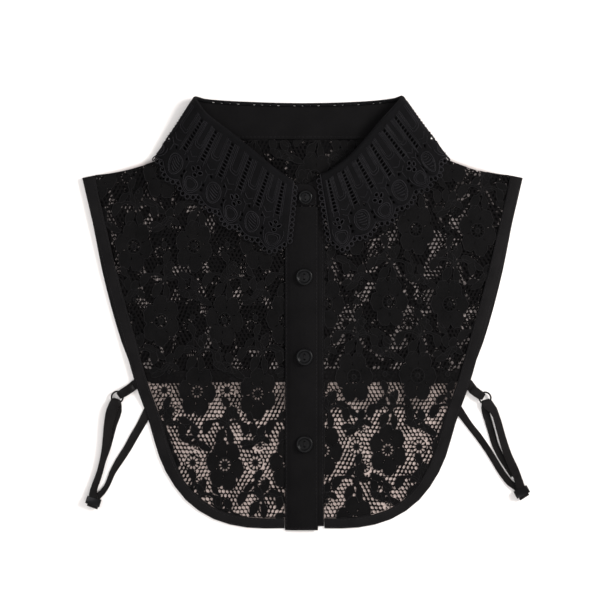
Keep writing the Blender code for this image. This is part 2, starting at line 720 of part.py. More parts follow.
def ribbon(name, table, side, thick, pitch, kind, cut=None):
    """A strap along a table of x, y, z and width, always level across. cut: the slant of its first end."""
    rows = through([(side * x, y, z, w) for x, y, z, w in table], pitch)
    path = rows[:, :3]
    widths = rows[:, 3]
    tangent = np.gradient(path, axis=0)
    tangent /= np.linalg.norm(tangent, axis=1)[:, None]
    across = np.zeros_like(path)
    last = None
    for k in range(len(path)):
        flat = np.array((-tangent[k, 1], tangent[k, 0], 0.0))
        size = np.linalg.norm(flat)
        if size < 0.25 and last is not None:
            flat = last
        else:
            flat = flat / max(size, 1e-9)
        if last is not None and np.dot(flat, last) < 0:
            flat = -flat
        across[k] = flat
        last = flat
    normal = np.cross(tangent, across)
    normal /= np.linalg.norm(normal, axis=1)[:, None]
    if cut is not None:
        slant = np.array((side * cut[0], cut[1], 0.0))
        slant /= np.linalg.norm(slant)
        slant /= np.dot(slant, across[0])
        for k, share in ((0, 1.0), (1, 0.75), (2, 0.4)):
            across[k] = across[k] * (1.0 - share) + slant * share
    top = np.zeros((len(path), 3, 3))
    bottom = np.zeros((len(path), 3, 3))
    for j, w in enumerate((-0.5, 0.0, 0.5)):
        line = path + across * (widths * w)[:, None]
        top[:, j] = line + normal * thick / 2
        bottom[:, j] = line - normal * thick / 2
    top[:, :, 2] = np.maximum(top[:, :, 2], 0.0)
    bottom[:, :, 2] = np.maximum(bottom[:, :, 2], 0.0)
    return shell(name, top, bottom, kind)


def torus(name, centre, big, small, kind, around=20, section=6):
    verts = []
    for i in range(around):
        a = 2 * math.pi * i / around
        for j in range(section):
            b = 2 * math.pi * j / section
            r = big + small * math.cos(b)
            x = centre[0] + r * math.cos(a)
            y = centre[1] + r * math.sin(a)
            verts.append((x, y, centre[2] + small * math.sin(b)))
    faces = []
    for i in range(around):
        for j in range(section):
            a = i * section + j
            b = i * section + (j + 1) % section
            c = ((i + 1) % around) * section + (j + 1) % section
            d = ((i + 1) % around) * section + j
            faces.append((a, b, c, d))
    return make_object(name, verts, faces, kind, True)


def sleeve(name, centre, angle, kind):
    """A slider: a short flat tube lying on the surface, open at both ends for the strap."""
    half_w = SLIDER_WIDE / 2
    half_l = SLIDER_LONG / 2
    wall = SLIDER_WALL
    chamfer = 0.5
    outer = [
        (-half_w + chamfer, 0.0),
        (half_w - chamfer, 0.0),
        (half_w, chamfer),
        (half_w, SLIDER_HIGH - chamfer),
        (half_w - chamfer, SLIDER_HIGH),
        (-half_w + chamfer, SLIDER_HIGH),
        (-half_w, SLIDER_HIGH - chamfer),
        (-half_w, chamfer),
    ]
    inner = [
        (-half_w + wall + 0.2, wall),
        (half_w - wall - 0.2, wall),
        (half_w - wall, wall + 0.2),
        (half_w - wall, SLIDER_HIGH - wall - 0.2),
        (half_w - wall - 0.2, SLIDER_HIGH - wall),
        (-half_w + wall + 0.2, SLIDER_HIGH - wall),
        (-half_w + wall, SLIDER_HIGH - wall - 0.2),
        (-half_w + wall, wall + 0.2),
    ]
    verts = []
    for along in (-half_l, half_l):
        for loop in (outer, inner):
            for w, z in loop:
                x = centre[0] + along * math.cos(angle) - w * math.sin(angle)
                y = centre[1] + along * math.sin(angle) + w * math.cos(angle)
                verts.append((x, y, z))
    faces = []
    for k in range(8):
        n = (k + 1) % 8
        faces.append((k, n, 16 + n, 16 + k))
        faces.append((8 + n, 8 + k, 24 + k, 24 + n))
        faces.append((k, 8 + k, 8 + n, n))
        faces.append((16 + k, 16 + n, 24 + n, 24 + k))
    return make_object(name, verts, faces, kind, False)


def build_straps():
    sides = ((-1, "right", STRAP_RIGHT, TAB_RIGHT), (1, "left", STRAP_LEFT, TAB_LEFT))
    for side, word, strap, tab in sides:
        ribbon("strap_" + word, strap, side, STRAP_THICK, STRAP_PITCH, "satin", (-0.316, -0.949))
        ribbon("tab_" + word, tab, side, STRAP_THICK, TAB_PITCH, "satin", (-0.915, -0.403))
        x, y, z = RING_PLACE[side]
        torus("ring_" + word, (side * x, y, z), RING_R, RING_WIRE, "metal")
        x, y = SLIDER_PLACE[side]
        sleeve("slider_" + word, (side * x, y), math.radians(SLIDER_ANGLE[side]), "metal")


def centre_everything():
    """Moves all meshes so that the middle of the whole box, at its lowest level, is the origin."""
    low = Vector((1e9, 1e9, 1e9))
    high = Vector((-1e9, -1e9, -1e9))
    for obj in bpy.data.objects:
        for vert in obj.data.vertices:
            for k in range(3):
                low[k] = min(low[k], vert.co[k])
                high[k] = max(high[k], vert.co[k])
    shift = Vector((-(low.x + high.x) / 2, -(low.y + high.y) / 2, -low.z))
    for obj in bpy.data.objects:
        for vert in obj.data.vertices:
            vert.co += shift
    print("box middle", round(-shift.x * 1000, 4), round(-shift.y * 1000, 4), round(-shift.z * 1000, 4))


def main():
    for obj in list(bpy.data.objects):
        bpy.data.objects.remove(obj, do_unlink=True)
    build_back()
    build_front(-1, STAND_LEFT, "front_right", "binding_right")
    build_front(1, STAND_RIGHT, "front_left", "binding_left")
    build_plackets()
    build_collar()
    build_buttons()
    build_straps()
    centre_everything()


main()
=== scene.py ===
"""The look of the lace collar, built on its frame. Sizes are in millimetres on the garment's own axes."""

import random
from math import atan2, cos, dist, floor, hypot, pi, radians, sin

import bmesh
import bpy
import numpy as np
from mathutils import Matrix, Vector
from mathutils.bvhtree import BVHTree
from mathutils.geometry import delaunay_2d_cdt


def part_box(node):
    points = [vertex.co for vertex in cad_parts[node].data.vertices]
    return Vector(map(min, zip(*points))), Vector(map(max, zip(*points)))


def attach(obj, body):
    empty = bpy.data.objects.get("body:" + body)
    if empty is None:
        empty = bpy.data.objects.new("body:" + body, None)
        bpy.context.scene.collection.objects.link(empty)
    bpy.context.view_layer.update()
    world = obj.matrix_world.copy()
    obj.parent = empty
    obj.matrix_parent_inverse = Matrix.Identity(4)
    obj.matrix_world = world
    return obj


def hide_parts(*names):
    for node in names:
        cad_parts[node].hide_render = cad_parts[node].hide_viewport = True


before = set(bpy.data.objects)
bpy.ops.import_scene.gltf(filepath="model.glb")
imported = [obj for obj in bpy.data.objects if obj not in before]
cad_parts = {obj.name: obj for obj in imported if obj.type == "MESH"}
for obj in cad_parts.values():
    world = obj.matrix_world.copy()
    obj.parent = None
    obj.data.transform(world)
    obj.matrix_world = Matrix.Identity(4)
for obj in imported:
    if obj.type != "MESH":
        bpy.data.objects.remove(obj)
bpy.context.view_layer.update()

MM = 0.001
# The upper front band's left edge and hem on the garment's axes
BAND_LEFT = -13.1
BAND_HEM = -162.0
# The frame's origin is the middle of the whole box, so the garment's axes are moved over to it.
SHIFT_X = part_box("placket_over")[0][0] / MM - BAND_LEFT
SHIFT_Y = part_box("placket_over")[0][1] / MM - BAND_HEM


# ---------------------------------------------------------------- materials


def new_material(name):
    """A material with its node tree and its shader."""
    made = bpy.data.materials.new(name)
    made.use_nodes = True
    return made, made.node_tree, made.node_tree.nodes["Principled BSDF"]


def feed(tree, node, inputs):
    """Links a node's sockets to the outputs of others, or sets them to plain values."""
    for name, value in inputs.items():
        if hasattr(value, "is_output"):
            tree.links.new(value, node.inputs[name])
        else:
            node.inputs[name].default_value = value


def new_node(tree, kind, inputs):
    node = tree.nodes.new("ShaderNode" + kind)
    feed(tree, node, inputs)
    return node


def math_node(tree, kind, a, b):
    node = new_node(tree, "Math", {0: a, 1: b})
    node.operation = kind
    return node.outputs[0]


def scaled(tree, value, by, plus):
    """A value times one number, with another value or number added."""
    return math_node(tree, "ADD", math_node(tree, "MULTIPLY", value, by), plus)


def blend(tree, a, share_a, b, share_b):
    """Two values added by their shares."""
    return scaled(tree, a, share_a, math_node(tree, "MULTIPLY", b, share_b))


def clamped(tree, value):
    return math_node(tree, "MINIMUM", math_node(tree, "MAXIMUM", value, 0.0), 1.0)


def colour_mix(tree, share, a, b):
    node = tree.nodes.new("ShaderNodeMix")
    node.data_type = "RGBA"
    # sockets 6 and 7 are the two colours
    feed(tree, node, {"Factor": share, 6: a, 7: b})
    return node.outputs[2]


def colour_ramp(tree, value, dark, light, start=0.0, stop=1.0):
    """Two tones over a value that runs from start to stop."""
    ramp = new_node(tree, "ValToRGB", {"Fac": value})
    for element, place, colour in zip(ramp.color_ramp.elements, (start, stop), (dark, light)):
        element.position = place
        element.color = (*colour, 1.0)
    return ramp.outputs["Color"]


def noise(tree, where, scale, detail=2.0):
    """Soft random tones; a larger scale makes them finer."""
    return new_node(tree, "TexNoise", {"Vector": where, "Scale": scale, "Detail": detail}).outputs["Fac"]


def wave(tree, where, period_mm, direction):
    """The threads of a weave as bands; a wave texture of scale 1 has a band every 0.31416 m."""
    scale = 0.31416 / (period_mm * MM)
    inputs = {"Vector": where, "Scale": scale, "Distortion": 0.4, "Detail": 1.0, "Detail Scale": 1.5}
    node = new_node(tree, "TexWave", inputs)
    node.bands_direction = direction
    return node.outputs["Fac"]


def turned(tree, angle):
    """The object's own coordinates, turned about Z so that threads can run at an angle."""
    own = new_node(tree, "TexCoord", {}).outputs["Object"]
    return new_node(tree, "Mapping", {"Vector": own, "Rotation": (0.0, 0.0, angle)}).outputs["Vector"]


def bumped(tree, height, strength, distance_mm):
    inputs = {"Strength": strength, "Distance": distance_mm * MM, "Height": height}
    return new_node(tree, "Bump", inputs).outputs["Normal"]


def cloth_material(name, dark, light, rough, sheen, threads, bump, angle=0.0):
    """Black cloth: two threads crossing, or one for satin, with slow changes of tone and roughness."""
    made, tree, shader = new_material(name)
    where = turned(tree, angle)
    tone = noise(tree, where, 60.0, 4.0)
    fine = noise(tree, where, 1400.0)
    lines = [wave(tree, where, period, direction) for period, direction in threads]
    weave = lines[0] if len(lines) == 1 else math_node(tree, "ADD", *lines)
    feed(tree, shader, {
        "Base Color": colour_ramp(tree, blend(tree, tone, 0.6, fine, 0.4), dark, light, 0.3, 0.72),
        "Normal": bumped(tree, blend(tree, weave, 0.5, fine, 0.6), bump, 0.25),
        "Roughness": scaled(tree, tone, 0.18, rough - 0.09),
        "Sheen Weight": sheen * 0.35,
        "Sheen Roughness": 0.45,
        "Sheen Tint": (0.75, 0.74, 0.78, 1.0),
        "Specular IOR Level": 0.045,
    })
    return made


def hard_material(name, colour, rough, metallic, coat):
    """Smooth resin or lacquered metal with slow changes of roughness."""
    made, tree, shader = new_material(name)
    tone = noise(tree, turned(tree, 0.3), 260.0, 3.0)
    feed(tree, shader, {
        "Base Color": (*colour, 1.0),
        "Normal": bumped(tree, tone, 0.08, 0.2),
        "Roughness": scaled(tree, tone, 0.12, rough),
        "Metallic": metallic,
        "Coat Weight": coat,
        "Coat Roughness": 0.12,
        "Specular IOR Level": 0.14,
    })
    return made


# Each cloth: its darker and lighter tone, then roughness, sheen, threads in mm, bump and the weave's angle
NET = cloth_material(
    "net_thread", (0.0015, 0.0013, 0.0014), (0.004, 0.0035, 0.0037),
    0.8, 0.01, ((0.3, "X"),), 0.25,
)
MOTIF = cloth_material(
    "lace_motif", (0.0014, 0.0013, 0.0014), (0.005, 0.0046, 0.0048),
    0.7, 0.02, ((0.42, "X"), (0.5, "Y")), 0.7, 0.5,
)
GUIPURE = cloth_material(
    "collar_embroidery", (0.0015, 0.0014, 0.0016), (0.0045, 0.0043, 0.005),
    0.66, 0.03, ((0.5, "X"), (0.6, "Y")), 0.8, 0.7,
)
# The cord's tones are lighter than the embroidery's: a painted highlight along the raised cords, on top of
# the shader's own sheen
CORD = cloth_material(
    "collar_cord", (0.005, 0.0048, 0.0055), (0.015, 0.0142, 0.0162),
    0.45, 0.1, ((0.7, "DIAGONAL"),), 0.8, 0.2,
)
GIMP = cloth_material(
    "gimp_thread", (0.0032, 0.003, 0.0032), (0.0095, 0.0088, 0.0092),
    0.5, 0.08, ((0.5, "DIAGONAL"),), 0.6,
)
WOVEN = cloth_material(
    "woven_cotton", (0.0019, 0.0017, 0.0019), (0.005, 0.0046, 0.0049),
    0.7, 0.03, ((0.42, "X"), (0.42, "Y")), 0.5,
)
SATIN = cloth_material(
    "binding_twill", (0.0027, 0.0024, 0.0026), (0.0068, 0.0062, 0.0065),
    0.48, 0.05, ((0.5, "DIAGONAL"),), 0.45, 0.1,
)
ELASTIC = cloth_material(
    "elastic_satin", (0.0034, 0.003, 0.003), (0.0095, 0.0085, 0.0085),
    0.3, 0.06, ((0.55, "DIAGONAL"),), 0.35, 0.9,
)
THREAD = cloth_material(
    "sewing_thread", (0.006, 0.0055, 0.006), (0.015, 0.014, 0.015),
    0.4, 0.06, ((0.25, "DIAGONAL"),), 0.5,
)
BUTTON = hard_material("button_resin", (0.002, 0.002, 0.0023), 0.24, 0.0, 0.0)
METAL = hard_material("black_metal", (0.011, 0.0105, 0.011), 0.16, 0.9, 0.1)


# ---------------------------------------------------------------- mesh helpers


def to_frame(points):
    """Garment millimetres to the frame's metres."""
    out = np.asarray(points, float).copy()
    out[..., 0] += SHIFT_X
    out[..., 1] += SHIFT_Y
    return out * MM


def new_object(name, data):
    obj = bpy.data.objects.new(name, data)
    bpy.context.scene.collection.objects.link(obj)
    return obj


def new_piece(name, mesh, material, slot):
    """A smooth piece of one mesh, riding on the root."""
    mesh.polygons.foreach_set("use_smooth", [True] * len(mesh.polygons))
    mesh.materials.append(material)
    obj = new_object(name, mesh)
    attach(obj, "root")
    return obj


def build(name, points, faces, material, slot):
    """A piece from garment points and faces."""
    mesh = bpy.data.meshes.new(name)
    mesh.from_pydata(to_frame(points).tolist(), [], faces)
    mesh.validate()
    return new_piece(name, mesh, material, slot)


class Soup:
    """Points and faces gathered from many small forms, with a material number for each face."""

    def __init__(self):
        self.points = []
        self.faces = []
        self.kinds = []

    def add(self, points, faces, kind=0):
        start = len(self.points)
        self.points.extend(tuple(p) for p in points)
        self.faces.extend(tuple(start + k for k in f) for f in faces)
        self.kinds.extend([kind] * len(faces))

    def make(self, name, materials, slot):
        obj = build(name, np.array(self.points), self.faces, materials[0], slot)
        for material in materials[1:]:
            obj.data.materials.append(material)
        if len(obj.data.polygons) == len(self.kinds):
            obj.data.polygons.foreach_set("material_index", self.kinds)
        return obj


class Surface:
    """The upper face of one CAD node, in garment millimetres."""

    def __init__(self, node):
        mesh = bpy.data.objects[node].data
        points = [Vector((v.co.x / MM - SHIFT_X, v.co.y / MM - SHIFT_Y, v.co.z / MM)) for v in mesh.vertices]
        self.tree = BVHTree.FromPolygons(points, [list(p.vertices) for p in mesh.polygons])

    def hit(self, x, y):
        """The highest point over x, y, or None off the cloth."""
        return self.tree.ray_cast(Vector((x, y, 60.0)), Vector((0, 0, -1)))[0]

    def drape(self, x, y):
        """The place on the upper face over x, y, or the nearest place of its rim."""
        found = self.hit(x, y)
        if found is not None:
            return found.x, found.y, found.z
        near = self.tree.find_nearest(Vector((x, y, 2.0)))[0]
        again = self.hit(near.x, near.y)
        return near.x, near.y, near.z if again is None else again.z


def turns(count):
    """Even angles round a circle."""
    return [2 * pi * k / count for k in range(count)]


def polar(a, rx, ry, cx=0.0, cy=0.0):
    """The point of an ellipse at one angle."""
    return cx + rx * cos(a), cy + ry * sin(a)


def quads(rows, columns, closed):
    """Faces between rings of points, and from the last ring to the first if closed."""
    faces = []
    for i in range(rows if closed else rows - 1):
        j = (i + 1) % rows
        for k in range(columns):
            n = (k + 1) % columns
            faces.append((i * columns + k, j * columns + k, j * columns + n, i * columns + n))
    return faces


def unit(vectors):
    """Vectors made one long."""
    return vectors / np.maximum(np.linalg.norm(vectors, axis=-1), 1e-9)[..., None]


def tube(soup, path, radius, sides=5, kind=0, closed=False, up=(0.0, 0.0, 1.0)):
    """A round cord along a list of points."""
    path = np.asarray(path, float)
    count = len(path)
    if closed:
        tangent = unit(np.roll(path, -1, axis=0) - np.roll(path, 1, axis=0))
    else:
        tangent = unit(np.gradient(path, axis=0))
    side = np.cross(tangent, up)
    side[np.linalg.norm(side, axis=1) < 1e-6] = (1.0, 0.0, 0.0)
    side = unit(side)
    over = np.cross(side, tangent)
    points = []
    for i in range(count):
        for a in turns(sides):
            points.append(path[i] + side[i] * radius * cos(a) + over[i] * radius * sin(a))
    faces = quads(count, sides, closed)
    if not closed:
        faces.append(tuple(range(sides)))
        faces.append(tuple((count - 1) * sides + k for k in range(sides - 1, -1, -1)))
    soup.add(points, faces, kind)


def travelled(points):
    """The distance along a line at each of its points."""
    return np.concatenate([[0.0], np.cumsum(np.linalg.norm(np.diff(points, axis=0), axis=1))])


def picked(at, run, points):
    """The points of a line at given distances along it."""
    return np.stack([np.interp(at, run, points[:, k]) for k in range(points.shape[1])], axis=1)


def along(points, step):
    """Points at even steps along a line."""
    points = np.asarray(points, float)
    run = travelled(points)
    count = max(2, int(round(run[-1] / step)) + 1)
    return picked(np.linspace(0, run[-1], count), run, points)


STITCH_LENGTH = 2.1
STITCH_GAP = 0.9
STITCH_DIP = 0.08
STITCH_LIFT = 0.06


def stitches(soup, line):
    """A row of sewn stitches on a line of 3D points, each a short thread that dips at its ends."""
    line = np.asarray(line, float)
    run = travelled(line)
    place = 0.0
    while place + STITCH_LENGTH < run[-1]:
        path = picked(np.linspace(place, place + STITCH_LENGTH, 4), run, line)
        path[1:3, 2] += STITCH_DIP
        path[[0, 3], 2] -= STITCH_DIP
        tube(soup, path, 0.2)
        place += STITCH_LENGTH + STITCH_GAP


# ---------------------------------------------------------------- lace


def ellipse(cx, cy, rx, ry, count, turn=0.0):
    """A loop of points, turned about its middle."""
    out = []
    c, s = cos(turn), sin(turn)
    for a in turns(count):
        x, y = polar(a, rx, ry)
        out.append((cx + x * c - y * s, cy + x * s + y * c))
    return out


def holed(outline, holes, inner=()):
    """Triangles of a flat shape with holes: points and faces in the plane."""
    points = []
    edges = []
    for loop in [outline] + list(holes):
        start = len(points)
        points += [Vector(p) for p in loop]
        edges += [(start + k, start + (k + 1) % len(loop)) for k in range(len(loop))]
    points += [Vector(p) for p in inner]
    made = delaunay_2d_cdt(points, edges, [], 0, 1e-5)
    out = np.array([tuple(p) for p in made[0]])
    faces = [tuple(f) for f in made[2]]
    centres = np.array([out[list(f)].mean(axis=0) for f in faces])
    keep = inside(centres, outline)
    for hole in holes:
        middle = np.mean(hole, axis=0)
        reach = np.max(np.linalg.norm(np.array(hole) - middle, axis=1))
        index = np.nonzero(np.linalg.norm(centres - middle, axis=1) < reach)[0]
        keep[index] &= ~inside(centres[index], hole)
    return out, [f for f, k in zip(faces, keep) if k]


def inside(points, loop):
    """Which points lie within a closed loop."""
    x, y = np.asarray(points, float).T
    loop = np.asarray(loop, float)
    found = np.zeros(len(x), bool)
    for (xi, yi), (xj, yj) in zip(loop, np.roll(loop, 1, axis=0)):
        if yi != yj:
            found ^= ((yi > y) != (yj > y)) & (x < (xj - xi) * (y - yi) / (yj - yi) + xi)
    return found


# The net's cells and the threads between them
NET_W = 3.0
NET_H = 4.0
NET_THREAD = 1.02
# The flowers' half drop, and a petal's reach across and along
FLOWER_PITCH_X = 47.0
FLOWER_PITCH_Y = 54.5
PETAL_X = 13.6
PETAL_Y = 19.2
PETALS = 6
STEM_HALF = 0.85
# The net lies this far below the upper face of its panel's solid
LACE_SINK = 0.6


def leaf_strip(base, heading, length, width, bend, stem):
    """A curved leaf: its spine starts at the base and bends as it goes. Gives left, middle and right rows."""
    rows = []
    angle = heading
    x, y = base
    count = 15
    total = stem + length
    step = total / (count - 1)
    for k in range(count):
        t = max(0.0, (total * k / (count - 1) - stem) / length)
        half = STEM_HALF
        if 0 < t < 1:
            half += (width / 2 - STEM_HALF) * sin(pi * t**0.75) ** 0.8
        nx = -sin(angle)
        ny = cos(angle)
        rows.append(((x + nx * half, y + ny * half), (x, y), (x - nx * half, y - ny * half)))
        angle += bend / (count - 1)
        x += cos(angle) * step
        y += sin(angle) * step
    return rows


# Discs beside each flower: x, y, size, spokes
ROSETTES = (
    (23.5, 1.5, 1.0, 10),
    (-20.0, 15.0, 0.62, 8),
    (-17.5, -13.5, 0.78, 9),
)
# Leaves that spring from one point: heading, length, width, bend, stem
SPRAY = (
    (118, 10.5, 6.2, 2.6, 13),
    (57, 9.5, 6, -2.9, 12.5),
    (86, 10.5, 6, -0.5, 4.5),
    (222, 11, 6.2, 0.6, 4.5),
    (292, 10, 4.8, -0.5, 5),
)
SPRIG = ((96, 7.5, 5.6, 0.5, 1.5), (300, 11, 4.8, 0.7, 4), (170, 7, 4.2, 1.2, 2.5))
SHOOT = ((62, 8.5, 5.2, -0.9, 2), (148, 7, 4.2, 1.2, 2.5))
TWIG = ((98, 8, 4.8, -0.9, 3), (196, 8, 4.4, 0.9, 3), (278, 10, 5.6, 0.7, 3))


class Lace:
    """One lace panel: where its cloth is, and the net and motifs gathered for it."""

    def __init__(self, node):
        self.face = Surface(node)
        self.soup = Soup()
        self.clear = []

    def raise_up(self, flat, lift):
        """Flat points laid on the panel, each lifted off the net."""
        out = []
        for (x, y), z in zip(flat, lift):
            px, py, pz = self.face.drape(x, y)
            out.append((px, py, pz - LACE_SINK + z))
        return out

    def plate(self, flat, lift, faces, kind=1):
        self.soup.add(self.raise_up(flat, lift), faces, kind)

    def near(self, x, y, reach):
        """Whether the panel lies at a place or round it."""
        places = [(x, y)] + [polar(a, reach, reach, x, y) for a in turns(8)]
        return any(self.face.hit(*place) is not None for place in places)

    def covers(self, flat):
        """Whether the panel lies under some of a shape's points."""
        return any(self.face.hit(x, y) is not None for x, y in flat[:: max(1, len(flat) // 8)])

    def cord(self, flat, radius, height, closed=True):
        """A gimp thread; points drawn together at the panel's rim are left out."""
        if not self.covers(flat):
            return
        path = self.raise_up(flat, [height] * len(flat))
        kept = [path[0]]
        for p in path[1:]:
            if (Vector(p) - Vector(kept[-1])).length > 0.12:
                kept.append(p)
        if len(kept) > 3:
            tube(self.soup, kept, radius, 4, 2, closed and len(kept) == len(path))

    def leaf(self, base, heading, length, width, bend, stem):
        rows = leaf_strip(base, heading, length, width, bend, stem)
        flat = [p for row in rows for p in row]
        if not self.covers(flat):
            return
        faces = [(j, j + 1, j + 4, j + 3) for k in range(0, len(flat) - 3, 3) for j in (k, k + 1)]
        self.plate(flat, [0.16, 0.34, 0.16] * len(rows), faces)
        rim = [row[0] for row in rows] + [row[2] for row in reversed(rows)]
        self.cord(rim, 0.26, 0.26)

    def flower(self, x, y, size, turn, seed):
        """Six frilled petals round a pierced middle, with gimp round them and fine veins."""
        phase = random.Random(seed).uniform(0, 1)
        wide = PETAL_X * size
        high = PETAL_Y * size

        def lobe(a):
            return abs(cos(PETALS * 0.5 * a + phase))

        outline = []
        for a in turns(72):
            r = 0.72 + 0.3 * lobe(a) ** 0.6 + 0.025 * cos(PETALS * 3 * a + phase * 5)
            outline.append(polar(a, wide * r, high * r))
        eye = (0.95 * size, 0.66 * size, 8)
        holes = [ellipse(*polar(b, 3.5 * size, 3.9 * size), *eye, b) for b in turns(10)]
        for k in range(PETALS):
            b = (2 * pi * k + pi - 2 * phase) / PETALS
            holes.append(ellipse(*polar(b, 7.4 * size, 9.4 * size), 1.5 * size, 0.34, 6, b))
        inner = []
        for share, parts in ((0.5, 14), (0.78, 24)):
            for k in range(parts):
                a = 2 * pi * (k + 0.5) / parts
                inner.append(polar(a, 10.5 * size * share, 14.0 * size * share))
        inner = [p for p in inner if all(dist(p, h[0]) > 1.0 for h in holes)]
        flat, faces = holed(outline, holes, inner)
        lift = []
        for px, py in flat:
            r = hypot(px / wide, py / high)
            rise = lobe(atan2(py / PETAL_Y, px / PETAL_X)) * min(1.0, r * 1.6)
            lift.append(0.18 + 0.16 * rise * (1.0 if r < 0.9 else 0.4))
        c, s = cos(turn), sin(turn)

        def place(loop):
            return [(x + px * c - py * s, y + px * s + py * c) for px, py in loop]

        world = place(flat)
        if not self.covers(world):
            return
        self.clear.append((x, y, 5.2 * size))
        self.plate(world, lift, faces)
        self.cord(place(outline), 0.3, 0.3)
        self.cord(place(ellipse(0, 0, 5.2 * size, 5.7 * size, 24)), 0.24, 0.36)
        self.cord(place(ellipse(0, 0, 1.6 * size, 1.8 * size, 12)), 0.3, 0.34)
        for k in range(PETALS):
            b = (2 * pi * k - 2 * phase) / PETALS
            for bend in (-0.16, 0.0, 0.16):
                vein = [polar(b + bend * t * 2, wide * t, high * t) for t in (0.42, 0.6, 0.78, 0.78)]
                self.cord(place(vein), 0.16, 0.4, False)

    def rosette(self, x, y, size, spokes):
        """A dot in a disc of slots that point at it, and no net inside it."""
        if self.face.hit(x, y) is None:
            return
        self.clear.append((x, y, 5.0 * size))
        rim = ellipse(x, y, 5.7 * size, 6.1 * size, 30)
        reach = 3.75 * size
        wide = pi * reach / spokes - 0.36
        slot = (1.45 * size, wide, 8)
        slots = [ellipse(*polar(a, reach, reach * 1.06, x, y), *slot, a) for a in turns(spokes)]
        flat, faces = holed(rim, slots, [(x, y)])
        lift = [0.12 + 0.26 * max(0.0, 1 - hypot(px - x, py - y) / (2.6 * size)) for px, py in flat]
        self.plate(flat, lift, faces)
        self.cord(ellipse(x, y, 1.7 * size, 1.8 * size, 12), 0.3, 0.3)

    def sprig(self, x, y, table, flip, turn):
        """Curved leaves springing from one point on thin stems."""
        for heading, length, width, bend, stem in table:
            angle = radians(heading)
            if flip < 0:
                angle = pi - angle
            self.leaf((x, y), angle + turn, length, width, bend * flip, stem)

    def dots(self, x, y, heading, size):
        """A short row of oval dots that grow."""
        for k, grow in enumerate((0.7, 0.9, 1.1)):
            px, py = polar(heading, 4.3 * k * size, 4.3 * k * size, x, y)
            if self.face.hit(px, py) is None:
                continue
            rim = ellipse(px, py, 1.9 * grow * size, 1.35 * grow * size, 10, heading)
            flat = rim + [(px, py)]
            self.plate(flat, [0.14] * 10 + [0.4], [(j, (j + 1) % 10, 10) for j in range(10)])

    def net(self, low, high, seed):
        """Hexagonal net: threads between rounded cells, pulled a little out of line."""
        rng = random.Random(seed)
        waves = [(rng.uniform(0.05, 0.16), rng.uniform(0.05, 0.16), rng.uniform(0, 6)) for _ in range(4)]

        def pull(x, y):
            dx = sum(sin(a * x + b * y + c) for a, b, c in waves) * 0.22
            dy = sum(cos(b * x - a * y + c * 2) for a, b, c in waves) * 0.22
            return x + dx, y + dy

        step_y = NET_H * 0.75
        columns = int((high[0] - low[0]) / NET_W) + 2
        rows = int((high[1] - low[1]) / step_y) + 2
        sx = (NET_W - NET_THREAD) / 2
        sy = (NET_H - NET_THREAD * 1.15) / 2
        shape = ((0, 1), (1, 0.5), (1, -0.5), (0, -1), (-1, -0.5), (-1, 0.5))
        cells = {}
        points = []
        for j in range(rows):
            for i in range(columns):
                x = low[0] + i * NET_W + (j % 2) * NET_W / 2
                y = low[1] + j * step_y
                if any((x - cx) ** 2 + (y - cy) ** 2 < r * r for cx, cy, r in self.clear):
                    continue
                if not self.near(x, y, 3.4):
                    continue
                cells[(i, j)] = len(points)
                grow = min(1.12, 0.98 + 0.1 * sin(i * 1.7 + j * 2.3) + rng.uniform(-0.08, 0.08))
                wide = 1.0 - 0.2 * sin(x * 0.19 + 2.0 * sin(y * 0.11))
                lean = 0.42 * sin(y * 0.15 + 1.7 * sin(x * 0.13))
                px, py = pull(x, y)
                for a, b in shape:
                    points.append((px + (a * sx * wide + b * sy * lean) * grow, py + b * sy * grow))
        faces = []
        for (i, j), a in cells.items():
            east = cells.get((i + 1, j))
            right = cells.get((i + j % 2, j + 1))
            left = cells.get((i + j % 2 - 1, j + 1))
            if east is not None:
                faces.append((a + 1, a + 2, east + 4, east + 5))
            if right is not None:
                faces.append((a, a + 1, right + 3, right + 4))
            if left is not None:
                faces.append((a + 5, a, left + 2, left + 3))
            if left is not None and right is not None:
                faces.append((a, right + 4, left + 2))
            if east is not None and right is not None:
                faces.append((a + 1, east + 5, right + 3))
        self.plate(points, [0.0] * len(points), faces, 0)

    def design(self, low, high, start, seed):
        """Flowers in a half drop, with a spray above each, rosettes beside it and dots between."""
        rng = random.Random(seed)
        first = int((low[1] - start[1]) / FLOWER_PITCH_Y) - 1
        last = int((high[1] - start[1]) / FLOWER_PITCH_Y) + 1
        before = floor((low[0] - start[0]) / FLOWER_PITCH_X)
        count = int((high[0] - low[0]) / FLOWER_PITCH_X) + 3
        for row in range(first, last + 1):
            y = start[1] + row * FLOWER_PITCH_Y
            shift = FLOWER_PITCH_X * 0.45 * (row % 2)
            for column in range(-1, count):
                x = start[0] + shift + (column + before) * FLOWER_PITCH_X
                if not (low[0] - 30 < x < high[0] + 30):
                    continue
                flip = 1 if (row + column) % 2 else -1
                jx = rng.uniform(-1.5, 1.5)
                jy = rng.uniform(-1.5, 1.5)
                self.flower(x + jx, y + jy, 1.0, rng.uniform(-0.14, 0.14), rng.randint(0, 9999))
                for px, py, size, spokes in ROSETTES:
                    self.rosette(x + px, y + py, size, spokes)
                self.sprig(x + 2.5, y + 29.5, SPRAY, 1, rng.uniform(-0.08, 0.08))
                for px, py, leaves in ((-21.0, 20.5, SPRIG), (24.0, -14.0, TWIG), (21.5, 15.5, SHOOT)):
                    self.sprig(x + px, y + py, leaves, flip, rng.uniform(-0.1, 0.1))
                self.sprig(x - 3.0, y - 22.5, SHOOT, -flip, 2.2)
                self.dots(x + 15.0, y + 22.0, 0.9, 0.95)


# ---------------------------------------------------------------- collar leaf

ROLL = 1.0
SCALLOP_DEPTH = 4.2
STAND_EDGE = 2.0
SEAM_GAP = 0.3
# The cloth runs from above the roll down to its edge, in mm below the roll
LEAF_TOP = -4.0
LEAF_DEEP = 57.0
